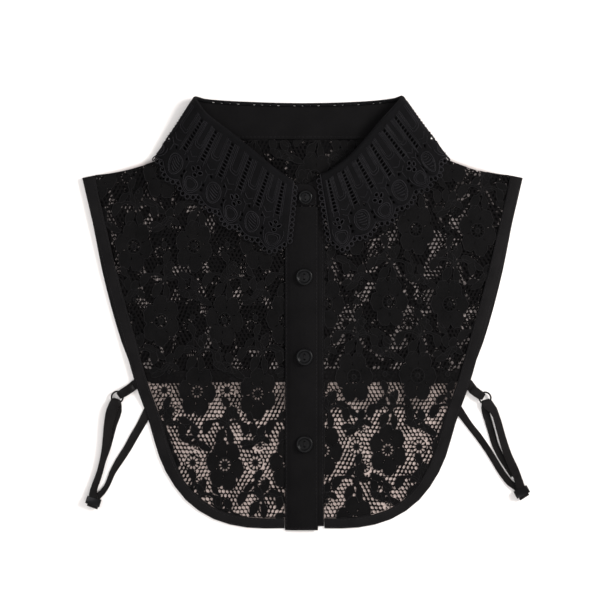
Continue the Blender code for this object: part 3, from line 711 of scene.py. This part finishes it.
# U counts lobes: it ends at U_END, and the halves meet behind the neck at U_MIDDLE
U_END = 23.2
U_MIDDLE = 11.6
FIRST_LOBE = 0.6
LAST_LOBE = 22.6
LOBE_WIDE = 15.5
# U where the edge turns sharply, so no eyelets are cut between the lobes there
LEAF_CORNERS = (6.2, 17.0)
LOOP_PITCH = 4.3
# Cords under the leaf stay this far off the table
FLOOR_GAP = 0.03
# u, fold x y z, edge x y z, turn, sag, and the stand's seam x y z: the same rows as the frame's collar.
# Left and right here are the viewer's, and both halves end in the rows behind the neck.
LEAF_BEHIND = (
    (9, 36, 157.6, 4.2, 50, 101.5, 0.62, -90, 5, 37, 131, 2.4),
    (10, 18, 157, 4.2, 25, 101, 0.62, -90, 5, 18, 131, 2.4),
    (11, 0, 156.8, 4.2, 0, 101, 0.62, -90, 5, 0, 131, 2.4),
)
LEAF_LEFT = (
    (-0.6, 6.4, 98.6, 6.4, 11, 52.5, 6.1, 90, 1.3, 7.5, 81, 4.1),
    (0, 13.5, 103, 7.2, 24.4, 48, 4.4, 90, 1.3, 20, 80.8, 2.4),
    (1, 24, 110.5, 8.4, 41.6, 58.5, 4, 90, 1.3, 36, 86.5, 2.6),
    (2, 37, 121.5, 9.4, 56.6, 67.5, 4, 90, 1.3, 51, 96, 3.6),
    (3, 50, 132, 10.4, 71, 80.2, 4.1, 90, 1.3, 64, 106, 4.1),
    (4, 62, 141, 11.4, 87.6, 90, 5.2, 90, 1.4, 76, 113.5, 4.3),
    (5, 72, 149, 11.6, 101, 102.5, 6.3, 86, 1.5, 84.5, 116.8, 4.5),
    (5.6, 77.2, 156.2, 11.2, 108, 112.4, 6.4, 60, 1.6, 88.8, 119.4, 4.6),
    (6, 79.5, 160.8, 8, 110.4, 117.6, 3.6, 0, 1.8, 90.4, 121.4, 3.5),
    (6.4, 77.4, 161, 5, 107, 113.4, 0.7, -60, 3.4, 87.4, 123.4, 2.5),
    (7, 72, 159.8, 4.4, 97, 105, 0.62, -86, 4.5, 79, 126.6, 2.4),
    (8, 54, 158.4, 4.2, 74, 102.5, 0.62, -90, 5, 56, 130.4, 2.4),
) + LEAF_BEHIND
LEAF_RIGHT = (
    (-0.6, 13.1, 103.6, 5.4, 21, 53.5, 4.5, 90, 1.3, 14, 81, 2.35),
    (0, 18, 105.2, 6.4, 31, 49.5, 4.2, 90, 1.3, 24, 82, 2.4),
    (1, 28, 111.5, 8, 49, 60, 4, 90, 1.3, 37, 88, 2.8),
    (2, 38, 120, 9.4, 65.6, 70.5, 4, 90, 1.3, 51, 97, 3.7),
    (3, 48, 131, 10.4, 79, 82.5, 4.3, 90, 1.3, 64, 106.5, 4.1),
    (4, 57, 141.8, 11.4, 93.4, 95.2, 5.4, 90, 1.4, 76, 114, 4.3),
    (5, 65.5, 151, 11.6, 101.4, 104, 6.3, 86, 1.5, 84.5, 117.2, 4.5),
    (5.6, 71, 157.6, 11.2, 106, 112.6, 6.4, 60, 1.6, 88.8, 119.6, 4.6),
    (6, 73.5, 161.6, 8, 108.4, 117.8, 3.6, 0, 1.8, 90.4, 121.6, 3.5),
    (6.4, 71.6, 161.4, 5, 105.2, 113.5, 0.7, -60, 3.4, 87.4, 123.6, 2.5),
    (7, 67, 160.2, 4.4, 96, 105.5, 0.62, -86, 4.5, 78, 127, 2.4),
    (8, 53, 158.6, 4.2, 74, 102.5, 0.62, -90, 5, 56, 130.4, 2.4),
) + LEAF_BEHIND


def cell(places, at):
    """The step of rising places that a value falls in, and its share of that step; or arrays of both."""
    at = np.clip(at, places[0], places[-1])
    k = np.clip(np.searchsorted(places, at, side="right") - 1, 0, len(places) - 2)
    return k, ((at - places[k]) / (places[k + 1] - places[k]))[..., None]


def catmull(rows, params, at):
    """A smooth curve's value at one place, from rows at rising places."""
    k, s = cell(params, at)
    p1 = rows[k]
    p2 = rows[k + 1]
    h = params[k + 1] - params[k]
    m1 = m2 = p2 - p1
    if k > 0:
        m1 = (p2 - rows[k - 1]) / (params[k + 1] - params[k - 1]) * h
    if k + 2 < len(rows):
        m2 = (rows[k + 2] - p1) / (params[k + 2] - params[k]) * h
    a = 2 * s**3 - 3 * s**2 + 1
    b = s**3 - 2 * s**2 + s
    c = -2 * s**3 + 3 * s**2
    d = s**3 - s**2
    return a * p1 + b * m1 + c * p2 + d * m2


class Leaf:
    """The collar leaf's middle surface over U and v. U counts lobes from one front point round to the other,
    and v is the distance down from the roll."""

    def __init__(self):
        self.us = np.linspace(0.0, U_END, 465)
        self.vs = np.array([LEAF_TOP, -2.6, -1.3, 0.0] + [LEAF_DEEP * b for b in np.linspace(0.04, 1.12, 28)])
        left = np.array(LEAF_LEFT)
        right = np.array(LEAF_RIGHT)
        grid = []
        for big in self.us:
            if big <= U_MIDDLE:
                u, side, table = big - FIRST_LOBE, -1, left
            else:
                u, side, table = LAST_LOBE - big, 1, right
            grid.append(self.section(catmull(table[:, 1:], table[:, 0], u), u, side))
        self.grid = np.array(grid)
        along_u = np.gradient(self.grid, self.us, axis=0)
        along_v = np.gradient(self.grid, self.vs, axis=1)
        self.normal = unit(np.cross(along_u, along_v))

    def section(self, row, u, side):
        """Points down the leaf at one u: from the seam over the roll, then down to the scalloped edge."""
        fold, edge, seam = (np.array((side * row[k], row[k + 1], row[k + 2])) for k in (0, 3, 8))
        turn = radians(row[6])
        sag = row[7]
        rise = unit(fold - seam)
        # the way the leaf falls away from the neck: level, and 31 degrees from the garment's x
        out = np.array((side * 0.855, 0.519, 0.0))
        away = out * cos(turn) + np.array((0.0, 0.0, 1.0)) * sin(turn)
        pull = SCALLOP_DEPTH * (1.0 - abs(cos(pi * u))) * (0.5 if u < 0 else 1.0)
        tip = edge - unit((edge - fold) * (1.0, 1.0, 0.0)) * pull
        points = [
            fold - rise * (STAND_EDGE - SEAM_GAP),
            fold - rise * 0.3 + away * 0.1,
            fold + rise * 0.75 + away * ROLL,
            fold - rise * 0.1 + away * 2.0 * ROLL,
        ]
        start = fold + away * 2.0 * ROLL
        blend = max(0.0, sin(turn)) ** 2
        for b in self.vs[4:] / LEAF_DEEP:
            point = start * (1 - b) + tip * b
            low = max(0.0, 1 - b)
            point[2] = (start[2] - tip[2]) * low**sag + tip[2] + 0.5 * blend * sin(pi * min(b, 1.0))
            points.append(point)
        return np.array(points)

    def at(self, big, v, lift=0.0):
        """Points over arrays of U and v, moved out along the cloth's normal, and the normals."""
        i, s = cell(self.us, np.asarray(big, float))
        j, t = cell(self.vs, np.asarray(v, float))

        def mix(a):
            upper = a[i, j] * (1 - s) + a[i + 1, j] * s
            lower = a[i, j + 1] * (1 - s) + a[i + 1, j + 1] * s
            return upper * (1 - t) + lower * t

        normal = unit(mix(self.normal))
        return mix(self.grid) + normal * np.asarray(lift)[..., None], normal


LEAF = Leaf()
CLOVER = ((-2.75, 38.6), (2.75, 38.6), (0.0, 35.5), (0.0, 41.4))
LADDER_TOP = 6.4
LADDER_STEP = 2.75


def lobe_places():
    """U of each lobe's middle, with its count from the nearer front point."""
    return [(FIRST_LOBE + k, k) for k in range(12)] + [(LAST_LOBE - k, k) for k in range(10, -1, -1)]


def ladder(v, stop):
    """Places down a ladder from v, short of stop."""
    while v < stop:
        yield v
        v += LADDER_STEP


def eyelets():
    """The flat cloth's holes: ladders with clovers or ovals below, pairs between lobes, rows on the roll."""
    holes = []

    def hole(big, v, rx, ry, count=8):
        holes.append(ellipse(big * LOBE_WIDE, v, rx, ry, count))

    for big, k in lobe_places():
        for v in ladder(LADDER_TOP, 33.0 if k in (1, 3, 5, 7, 9) else 30.0):
            grow = 0.85 + 0.4 * (v / 33.0)
            hole(big, v, 1.12 * grow, 0.98)
        if k % 2 == 0:
            for dx, v in CLOVER:
                hole(big + dx / LOBE_WIDE, v, 1.3, 1.2)
        else:
            for dx in (-5.2, 5.2):
                hole(big + dx / LOBE_WIDE, 37.5, 0.9, 1.1, 6)
        between = big + 0.5
        if between < LAST_LOBE and min(abs(between - corner) for corner in LEAF_CORNERS) >= 0.8:
            hole(between, 47.6, 0.8, 1.5, 6)
            hole(between, 52.0, 0.9, 1.3, 6)
    for k in range(1, 24):
        big = 7.6 + 8.0 * k / 24
        share = 0.3 + 0.75 * abs(sin(k * 1.9))
        for v in (-3.05, 0.85):
            hole(big, v, 0.95 * share, 0.6 * share)
    return holes


def leaf_cloth():
    """The embroidered cloth, triangulated flat with its eyelets and then laid on the leaf's surface."""
    holes = eyelets()
    length = U_END * LOBE_WIDE
    down = LEAF_DEEP - LEAF_TOP
    across = int(length / 2.2)
    steps = [length * k / across for k in range(across)]
    outline = [(x, LEAF_TOP) for x in steps]
    outline += [(length, LEAF_TOP + down * k / 24) for k in range(24)]
    outline += [(length - x, LEAF_DEEP) for x in steps]
    outline += [(0.0, LEAF_DEEP - down * k / 24) for k in range(24)]
    taken = np.array([np.mean(h, axis=0) for h in holes])
    inner = []
    for v in [-2.6, -1.3, 0.0, 1.6, 3.4] + list(np.arange(5.6, 55.5, 2.5)):
        for step in steps[1:-1]:
            x = step + (0.9 if int(v * 2) % 2 else 0.0)
            if np.min(np.hypot(taken[:, 0] - x, taken[:, 1] - v)) > 1.75:
                inner.append((x, v))
    plane, faces = holed(outline, holes, inner)
    big = plane[:, 0] / LOBE_WIDE
    swell = 0.12 * np.sin((big - FIRST_LOBE) * pi * 2) * np.clip(plane[:, 1] / 20.0, 0, 1)
    place, _ = LEAF.at(big, plane[:, 1], swell)
    place[:, 2] = np.maximum(place[:, 2], 0.4 + FLOOR_GAP)
    body = build("collar_leaf_cloth", place, faces, GUIPURE, "guipure")
    solid = body.modifiers.new("cloth", "SOLIDIFY")
    solid.thickness = 0.8 * MM
    solid.offset = 0.0
    return body


def arc(cx, cy, rx, ry, start, stop, count):
    """Part of an ellipse, from one angle in degrees to another."""
    angles = [radians(start + (stop - start) * k / (count - 1)) for k in range(count)]
    return [polar(a, rx, ry, cx, cy) for a in angles]


class LeafCords(Soup):
    """The cords and loops on the collar leaf."""

    def cord(self, line, radius, lift=0.5, closed=False, sides=5):
        """A cord along a flat line of x, counted in lobes of LOBE_WIDE, and v."""
        if closed:
            line = line + line[:1]
        line = along(line, 1.25)
        if closed:
            line = line[:-1]
        path, normal = LEAF.at(line[:, 0] / LOBE_WIDE, line[:, 1], np.full(len(line), lift))
        path[:, 2] = np.maximum(path[:, 2], radius + FLOOR_GAP)
        tube(self, path, radius, sides, 0, closed, normal)

    def lobe(self, x, even):
        """Ladder, tongue, chevrons and middle motif of one lobe."""
        stop = 33.5 if even else 35.5
        for side in (-1, 1):
            self.cord([(x + side * 1.9, 4.6), (x + side * 2.35, stop)], 0.36)
            self.cord([(x + side * 3.0, 4.6), (x + side * 3.3, stop - 3.0)], 0.26, 0.46)
        for v in ladder(LADDER_TOP + LADDER_STEP / 2, stop - 2):
            self.cord([(x - 1.9, v), (x + 1.9, v)], 0.26, 0.42, sides=4)
        mid = x + LOBE_WIDE / 2
        if mid < (U_END - 0.2) * LOBE_WIDE:
            for wide, deep, r in ((3.6, 24.5, 0.36), (2.5, 22.6, 0.26)):
                tip = arc(mid, deep - wide, wide, wide * 1.2, 180, 0, 12)
                self.cord([(mid - wide, 4.2)] + tip + [(mid + wide, 4.2)], r, 0.48)
            for wide, v in ((3.4, 30.0), (3.2, 34.5)):
                self.cord([(mid - wide, v), (mid, v + 4.5), (mid + wide, v)], 0.3, 0.45)
            self.cord([(mid, 39.0), (mid, 45.5)], 0.3, 0.45)
        if even:
            for dx, v in CLOVER:
                self.cord(ellipse(x + dx, v, 1.75, 1.6, 12), 0.42, 0.5, True)
            self.cord(ellipse(x, 49.0, 4.5, 4.9, 22), 0.42, 0.55, True)
            self.cord(ellipse(x, 49.0, 3.3, 3.7, 18), 0.28, 0.5, True)
            self.cord(arc(x, 48.0, 6.5, 7.4, 205, -25, 20), 0.3, 0.45)
        else:
            self.cord(ellipse(x, 45.6, 5.0, 7.6, 26), 0.42, 0.55, True)
            self.cord(ellipse(x, 45.6, 3.9, 6.5, 22), 0.28, 0.5, True)
            for half, v in ((1.7, 40.8), (2.8, 42.9), (3.1, 45.0), (2.8, 47.1), (1.8, 49.2)):
                self.cord([(x - half, v + 1.0), (x, v), (x + half, v - 0.9)], 0.4)
        # the cord along the scalloped edge
        reach = LOBE_WIDE / 2 - 0.2
        self.cord([(x - reach, 56.2), (x, 56.4), (x + reach, 56.2)], 0.42, 0.3)

    def loop(self, centre, out, line, reach, wide, radius, count):
        """A small loop in the plane of two directions."""
        path = []
        for a in turns(count):
            x, y, z = centre + out * reach * cos(a) + line * wide * sin(a)
            path.append((x, y, max(z, radius + FLOOR_GAP)))
        tube(self, path, radius, closed=True)

    def edge_loops(self):
        """Loops beyond the scalloped edge, evenly spaced along it."""
        bigs = np.linspace(0.12, U_END - 0.12, 1400)
        v = LEAF_DEEP + 1.4
        edge, _ = LEAF.at(bigs, np.full(len(bigs), v))
        run = travelled(edge)
        for at in np.linspace(0, run[-1], int(run[-1] / LOOP_PITCH) + 1):
            big = np.interp(at, run, bigs)
            spot, normal = LEAF.at([big, big + 0.01], [v, v])
            line = unit(spot[1] - spot[0])
            self.loop(spot[0], unit(np.cross(normal[0], line)), line, 1.8, 1.75, 0.45, 14)

    def end_loops(self):
        """Loops down the two front ends."""
        for end, inner in ((0.0, 0.1), (U_END, U_END - 0.1)):
            for v in [4.5 + n * 5.2 for n in range(11)]:
                (base, near, down), _ = LEAF.at([end, inner, end], [v, v, v + 1.0])
                out = unit(base - near)
                self.loop(base + out * 1.5, out, unit(down - base), 1.75, 1.8, 0.42, 10)


def collar_leaf():
    """Corded eyelet embroidery: cloth with its holes, cords on it and loops round it."""
    body = leaf_cloth()
    cords = LeafCords()
    for big, k in lobe_places():
        cords.lobe(big * LOBE_WIDE, k % 2 == 0)
    cords.edge_loops()
    cords.end_loops()
    for x in (0.5, U_END * LOBE_WIDE - 0.5):
        cords.cord([(x, -3.0), (x, 56.5)], 0.4, 0.3)
    cords.make("collar_leaf_cords", [CORD], "guipure")
    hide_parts("collar_leaf")


# ---------------------------------------------------------------- bindings, plackets and stand


def fresh_copy(piece, node, material, slot, bevel, segments, pucker=0.0):
    """The node's own form as a piece: welded, with rounded edges, and divided and uneven if puckered."""
    mesh = bpy.data.meshes.new(piece)
    work = bmesh.new()
    work.from_mesh(bpy.data.objects[node].data)
    bmesh.ops.remove_doubles(work, verts=work.verts, dist=0.02 * MM)
    bmesh.ops.dissolve_limit(work, angle_limit=radians(0.6), verts=work.verts, edges=work.edges)
    bmesh.ops.triangulate(work, faces=[f for f in work.faces if len(f.verts) > 4])
    if pucker:
        bmesh.ops.subdivide_edges(work, edges=work.edges, cuts=1, use_grid_fill=True)
        for vert in work.verts:
            x, y, z = (c / MM for c in vert.co)
            swell = sin(x * 0.21 + y * 0.13) * sin(y * 0.17 - x * 0.08) + 0.5 * sin(x * 0.6 + y * 0.5)
            if z > 0.3:
                vert.co.z += pucker * MM * swell
    work.to_mesh(mesh)
    work.free()
    obj = new_piece(piece, mesh, material, slot)
    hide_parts(node)
    rounder = obj.modifiers.new("edges", "BEVEL")
    rounder.width = bevel * MM
    rounder.segments = segments
    rounder.limit_method = "ANGLE"
    rounder.angle_limit = radians(40)
    return obj


# piece, node, material, slot, bevel, its segments, pucker
TRIMS = (
    ("binding_right_tape", "binding_right", SATIN, "satin", 0.42, 3, 0.07),
    ("binding_left_tape", "binding_left", SATIN, "satin", 0.42, 3, 0.07),
    ("back_binding_tape", "back_binding", SATIN, "satin", 0.4, 3, 0.03),
    ("placket_over_cloth", "placket_over", WOVEN, "woven", 0.45, 3, 0.06),
    ("placket_under_cloth", "placket_under", WOVEN, "woven", 0.35, 2, 0.03),
    ("collar_stand_cloth", "collar_stand", WOVEN, "woven", 0.35, 2, 0.05),
)
# Straight rows of topstitching: node, start, end, points
STRAIGHT_ROWS = (
    ("placket_over", (-11.9, 79.6), (-11.9, -161.0), 120),
    ("placket_over", (10.3, 79.6), (10.3, -161.0), 120),
    ("placket_over", (-12.0, -160.4), (10.4, -160.4), 12),
    ("placket_under", (14.9, 79.6), (14.9, -158.0), 120),
    ("collar_stand", (-52.0, 132.6), (52.0, 132.6), 60),
    ("collar_stand", (-4.0, 82.4), (9.6, 82.4), 10),
    ("collar_stand", (9.5, 82.4), (9.5, 90.0), 6),
)
# The garment's outer edge, from the shoulder down the armhole and in along the hem, for x over 0
SIDE = (
    (165, 102), (158.3, 73.5), (147.3, 27), (134, -21), (126, -49.5),
    (115.4, -80), (106.5, -109.5), (97.3, -127), (86, -140.9), (69.3, -152.5),
    (50, -158.8), (32, -160.6), (16.5, -160.6),
)


def side_line(inward_side, inward_hem):
    """A line along the armhole side and hem, so far in from the outer edge."""
    rows = np.array(SIDE)
    params = travelled(rows)
    line = np.array([catmull(rows, params, t) for t in np.linspace(0, params[-1], 160)])
    tangent = unit(np.gradient(line, axis=0))
    normal = np.stack([tangent[:, 1], -tangent[:, 0]], axis=1)
    share = np.clip((line[:, 1] + 150.0) / 40.0, 0, 1)
    inward = inward_hem + (inward_side - inward_hem) * share
    return line + normal * inward[:, None]


def topstitching():
    """Rows of stitches on the bindings, plackets and stand."""
    rows = []
    for side, node, last in ((-1, "binding_right", 14.5), (1, "binding_left", 17.2)):
        for deep_side, deep_hem in ((7.7, 6.4), (1.4, 1.3)):
            rows.append((node, [(side * x, y) for x, y in side_line(deep_side, deep_hem) if x > last]))
    rows += [(node, np.linspace(start, stop, count)) for node, start, stop, count in STRAIGHT_ROWS]
    soup = Soup()
    for node, flat in rows:
        face = Surface(node)
        places = np.array([face.drape(x, y) for x, y in flat])
        stitches(soup, places + (0.0, 0.0, STITCH_LIFT))
    soup.make("topstitching", [THREAD], "woven")


# ---------------------------------------------------------------- buttons, rings, sliders, straps


def box_of(node):
    """A node's box in garment millimetres: its middle and its size."""
    low, high = (np.array(corner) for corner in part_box(node))
    return (low + high) / 2 / MM - (SHIFT_X, SHIFT_Y, 0.0), (high - low) / MM


# A button's section from its plate over the rim and back beneath: shares of the radius and the thickness
BUTTON_SECTION = (
        (0.60, 0.60), (0.64, 0.62), (0.68, 0.72), (0.72, 0.86), (0.77, 0.95), (0.83, 1.0), (0.89, 0.985),
        (0.95, 0.9), (0.99, 0.74), (1.0, 0.58), (0.97, 0.38), (0.88, 0.12), (0.78, 0.0), (0.60, 0.0),
    )


def button(name, node):
    """A two-hole button: a turned rim, a sunken plate with two eyes, and thread through them."""
    (cx, cy, cz), size = box_of(node)
    r = size[0] / 2
    thick = size[2]
    base = cz - thick / 2
    soup = Soup()
    count = 56
    points = [
        (*polar(a, r * q, r * q, cx, cy), base + thick * h) for a in turns(count) for q, h in BUTTON_SECTION
    ]
    soup.add(points, quads(count, len(BUTTON_SECTION), True))
    eyes = [ellipse(0, s * r * 0.27, r * 0.125, r * 0.125, 14) for s in (-1, 1)]
    plane, plate = holed(ellipse(0, 0, r * 0.605, r * 0.605, count), eyes)
    top = [(cx + x, cy + y, base + thick * (0.6 - 0.05 * (1 - hypot(x, y) / (r * 0.6)))) for x, y in plane]
    soup.add(top, plate)
    soup.add([(cx + x, cy + y, base + 0.02) for x, y in plane], [tuple(reversed(f)) for f in plate])
    for eye in eyes:
        wall = [(cx + x, cy + y, z) for z in (base + thick * 0.565, base + 0.02) for x, y in eye]
        soup.add(wall, [(k, 14 + k, 14 + (k + 1) % 14, (k + 1) % 14) for k in range(14)])
    for dx in (-0.045, 0.045):
        path = []
        for t in np.linspace(-1, 1, 9):
            rise = 0.3 * (1 - t**4) + thick * 0.6 if abs(t) < 0.99 else thick * 0.15
            path.append((cx + r * dx, cy + t * r * 0.27, base + rise))
        tube(soup, path, r * 0.042, 6, 1)
    made = soup.make(name, [BUTTON, THREAD], "button")
    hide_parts(node)


RING_WIRE = 0.65


def ring(name, node):
    """A round ring of wire, flat on the table."""
    (cx, cy, cz), size = box_of(node)
    r = size[0] / 2 - RING_WIRE
    soup = Soup()
    tube(soup, [(*polar(a, r, r, cx, cy), cz) for a in turns(56)], RING_WIRE, 12, 0, True)
    made = soup.make(name, [METAL], "metal")
    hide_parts(node)


# Each strap's sewn end: its place, the way the strap leaves it, and the way the end's edge runs
STRAP_ENDS = {
    "right": ((-117.4, -75.6), (-0.456, -0.89), (0.316, -0.949)),
    "left": ((118.2, -73.2), (0.568, -0.822), (-0.316, -0.949)),
}
# How far a sewn end goes on into the binding beside it
TUCK = 1.4


def tuck(obj, place, heading, edge):
    """Moves a strap's sewn end on: the points on the line of its edge, near its place."""
    for vert in obj.data.vertices:
        x = vert.co.x / MM - SHIFT_X - place[0]
        y = vert.co.y / MM - SHIFT_Y - place[1]
        if hypot(x, y) < 6.5 and abs(x * edge[1] - y * edge[0]) < 0.6:
            vert.co.x -= heading[0] * TUCK * MM
            vert.co.y -= heading[1] * TUCK * MM


def hardware():
    """The buttons, and at each side the ring, slider, strap and tab."""
    for k in range(1, 5):
        button("button_form_%d" % k, "button_%d" % k)
    for word in ("right", "left"):
        ring("ring_form_" + word, "ring_" + word)
        fresh_copy("slider_form_" + word, "slider_" + word, METAL, "metal", 0.22, 3)
        strap = fresh_copy("strap_elastic_" + word, "strap_" + word, ELASTIC, "satin", 0.22, 2)
        tuck(strap, *STRAP_ENDS[word])
        fresh_copy("tab_elastic_" + word, "tab_" + word, ELASTIC, "satin", 0.22, 2)


# ---------------------------------------------------------------- floor, light and camera

# The table's tones: bare, and beige darkened by painted shade under one layer of lace, darker still under two
BARE = ((0.80, 0.77, 0.755), (0.83, 0.80, 0.785))
SHADED_BEIGE_ONE_LAYER = (0.36, 0.29, 0.265, 1.0)
SHADED_BEIGE_TWO_LAYERS = (0.29, 0.25, 0.24, 1.0)
# Over how many mm the painted shade fades out, how the shoulders rise inward, and where the back's hem shows
# and the deeper painted shade under two layers starts
PAINTED_SHADE_FADE = 5.0
SHOULDER_RISE = 0.3
BACK_HEM = -53.0


def side_curve(tree, value):
    """The garment's half width over a height that runs from 0 to 1, as a share of the widest."""
    rows = [(y, x) for x, y in reversed(SIDE[:-2])]
    (bottom, _), (top, reach) = rows[0], rows[-1]
    sides = new_node(tree, "FloatCurve", {"Value": value})
    curve = sides.mapping.curves[0]
    curve.points[0].location = (0.0, rows[0][1] / reach)
    curve.points[1].location = (1.0, 1.0)
    for y, x in rows[1:-1]:
        curve.points.new((y - bottom) / (top - bottom), x / reach)
    sides.mapping.update()
    return sides.outputs["Value"]


def table_material():
    """The table: beige darkened by painted shade where it shows through the lace, deeper painted shade under
    two layers, and white round the garment.
    """
    made, tree, shader = new_material("pale_table")
    where = turned(tree, 0.0)
    white = colour_ramp(tree, noise(tree, where, 30.0, 3.0), *BARE)
    apart = new_node(tree, "SeparateXYZ", {0: where})

    def less(a, b):
        return math_node(tree, "SUBTRACT", a, b)

    reach, top = (c * MM for c in SIDE[0])
    bottom = SIDE[-3][1] * MM
    across = math_node(tree, "ABSOLUTE", less(apart.outputs[0], SHIFT_X * MM), 0.0)
    height = less(apart.outputs[1], SHIFT_Y * MM)
    above = less(height, bottom)
    half_width = side_curve(tree, math_node(tree, "DIVIDE", above, top - bottom))
    from_side = less(math_node(tree, "MULTIPLY", half_width, reach), across)
    from_shoulder = less(scaled(tree, less(reach, across), SHOULDER_RISE, top), height)
    depth = math_node(tree, "MINIMUM", math_node(tree, "MINIMUM", from_side, above), from_shoulder)
    # Painted shade: the table's beige is darkened inside the garment's outline, fading in over its edge, and
    # darkened more above the back's hem where two layers of lace lie
    painted_shade_share = clamped(tree, math_node(tree, "DIVIDE", depth, PAINTED_SHADE_FADE * MM))
    two_layer_shade_share = clamped(tree, math_node(tree, "DIVIDE", less(height, BACK_HEM * MM), PAINTED_SHADE_FADE * MM))
    shaded_beige = colour_mix(tree, two_layer_shade_share, SHADED_BEIGE_ONE_LAYER, SHADED_BEIGE_TWO_LAYERS)
    feed(tree, shader, {"Base Color": colour_mix(tree, painted_shade_share, white, shaded_beige), "Roughness": 0.9})
    return made


def table():
    """A wide table top just under the garment."""
    mesh = bpy.data.meshes.new("table_top")
    corners = [(-3, -3, 0), (3, -3, 0), (3, 3, 0), (-3, 3, 0)]
    mesh.from_pydata(corners, [], [(0, 1, 2, 3)])
    mesh.materials.append(table_material())
    top = new_object("table_top", mesh)
    top.location = (0.0, 0.0, -0.0002)


# Round lamps aimed at the origin: name, place, size, energy, colour
LAMPS = (
    ("key", (0.95, 0.35, 0.75), 0.5, 20.0, (1.0, 0.98, 0.96)),
    ("fill", (-0.7, 0.3, 1.5), 1.3, 10.0, (0.97, 0.98, 1.0)),
    ("low", (0.1, -1.0, 1.2), 1.2, 6.3, (1.0, 0.99, 0.98)),
)


def lights():
    """The lamps and an even grey-white studio round them."""
    for name, place, size, energy, colour in LAMPS:
        data = bpy.data.lights.new(name, "AREA")
        data.shape = "DISK"
        data.size = size
        data.energy = energy
        data.color = colour
        lamp = new_object(name, data)
        lamp.location = place
        lamp.rotation_euler = (-Vector(place)).to_track_quat("-Z", "Y").to_euler()
    world = bpy.data.worlds.new("studio")
    world.use_nodes = True
    background = world.node_tree.nodes["Background"]
    background.inputs["Color"].default_value = (1.0, 0.99, 0.985, 1.0)
    background.inputs["Strength"].default_value = 0.62
    bpy.context.scene.world = world
    bpy.context.scene.view_settings.view_transform = "Standard"


# The photo is 605 pixels of 0.75 mm across, and its middle lies above the garment's origin
PHOTO_WIDTH = 453.75
PHOTO_MIDDLE_Y = 8.625
CAMERA_HEIGHT = 1.9


def camera():
    """The photo's view, from straight above."""
    data = bpy.data.cameras.new("camera")
    data.sensor_width = 36.0
    data.lens = 36.0 * CAMERA_HEIGHT / (PHOTO_WIDTH * MM)
    data.clip_end = 20.0
    obj = new_object("camera", data)
    obj.location = (SHIFT_X * MM, (PHOTO_MIDDLE_Y + SHIFT_Y) * MM, CAMERA_HEIGHT)
    bpy.context.scene.camera = obj


def lace_panel(piece, node, design, net, flowers=()):
    """One panel of lace: its design, listed flowers, and the net round them."""
    lace = Lace(node)
    lace.design(*design)
    for flower in flowers:
        lace.flower(*flower)
    lace.net(*net)
    return lace.soup.make(piece, [NET, MOTIF, GIMP], "lace")


def main():
    """The whole scene: surroundings, lace, collar, trims and hardware."""
    table()
    lights()
    camera()
    right = lace_panel(
        "front_right_lace", "front_right",
        ((-160, -158), (-12, 124), (-80.0, -58.5), 11),
        ((-160, -160), (-9, 124), 3),
    )
    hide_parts("front_right")
    left = lace_panel(
        "front_left_lace", "front_left",
        ((14, -158), (160, 124), (17.0, -101.0), 12),
        ((12, -160), (160, 124), 5),
    )
    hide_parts("front_left")
    back = lace_panel(
        "back_lace", "back_panel",
        ((-156, -44), (156, 132), (-12.0, 46.5), 13),
        ((-156, -46), (156, 132), 7),
        ((2.5, 99.0, 0.52, 0.2, 4), (25.5, 116.5, 0.42, -0.7, 6)),
    )
    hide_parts("back_panel")
    collar_leaf()
    binding_r, binding_l, binding_b, over, under, stand = (fresh_copy(*trim) for trim in TRIMS)
    topstitching()
    hardware()


main()
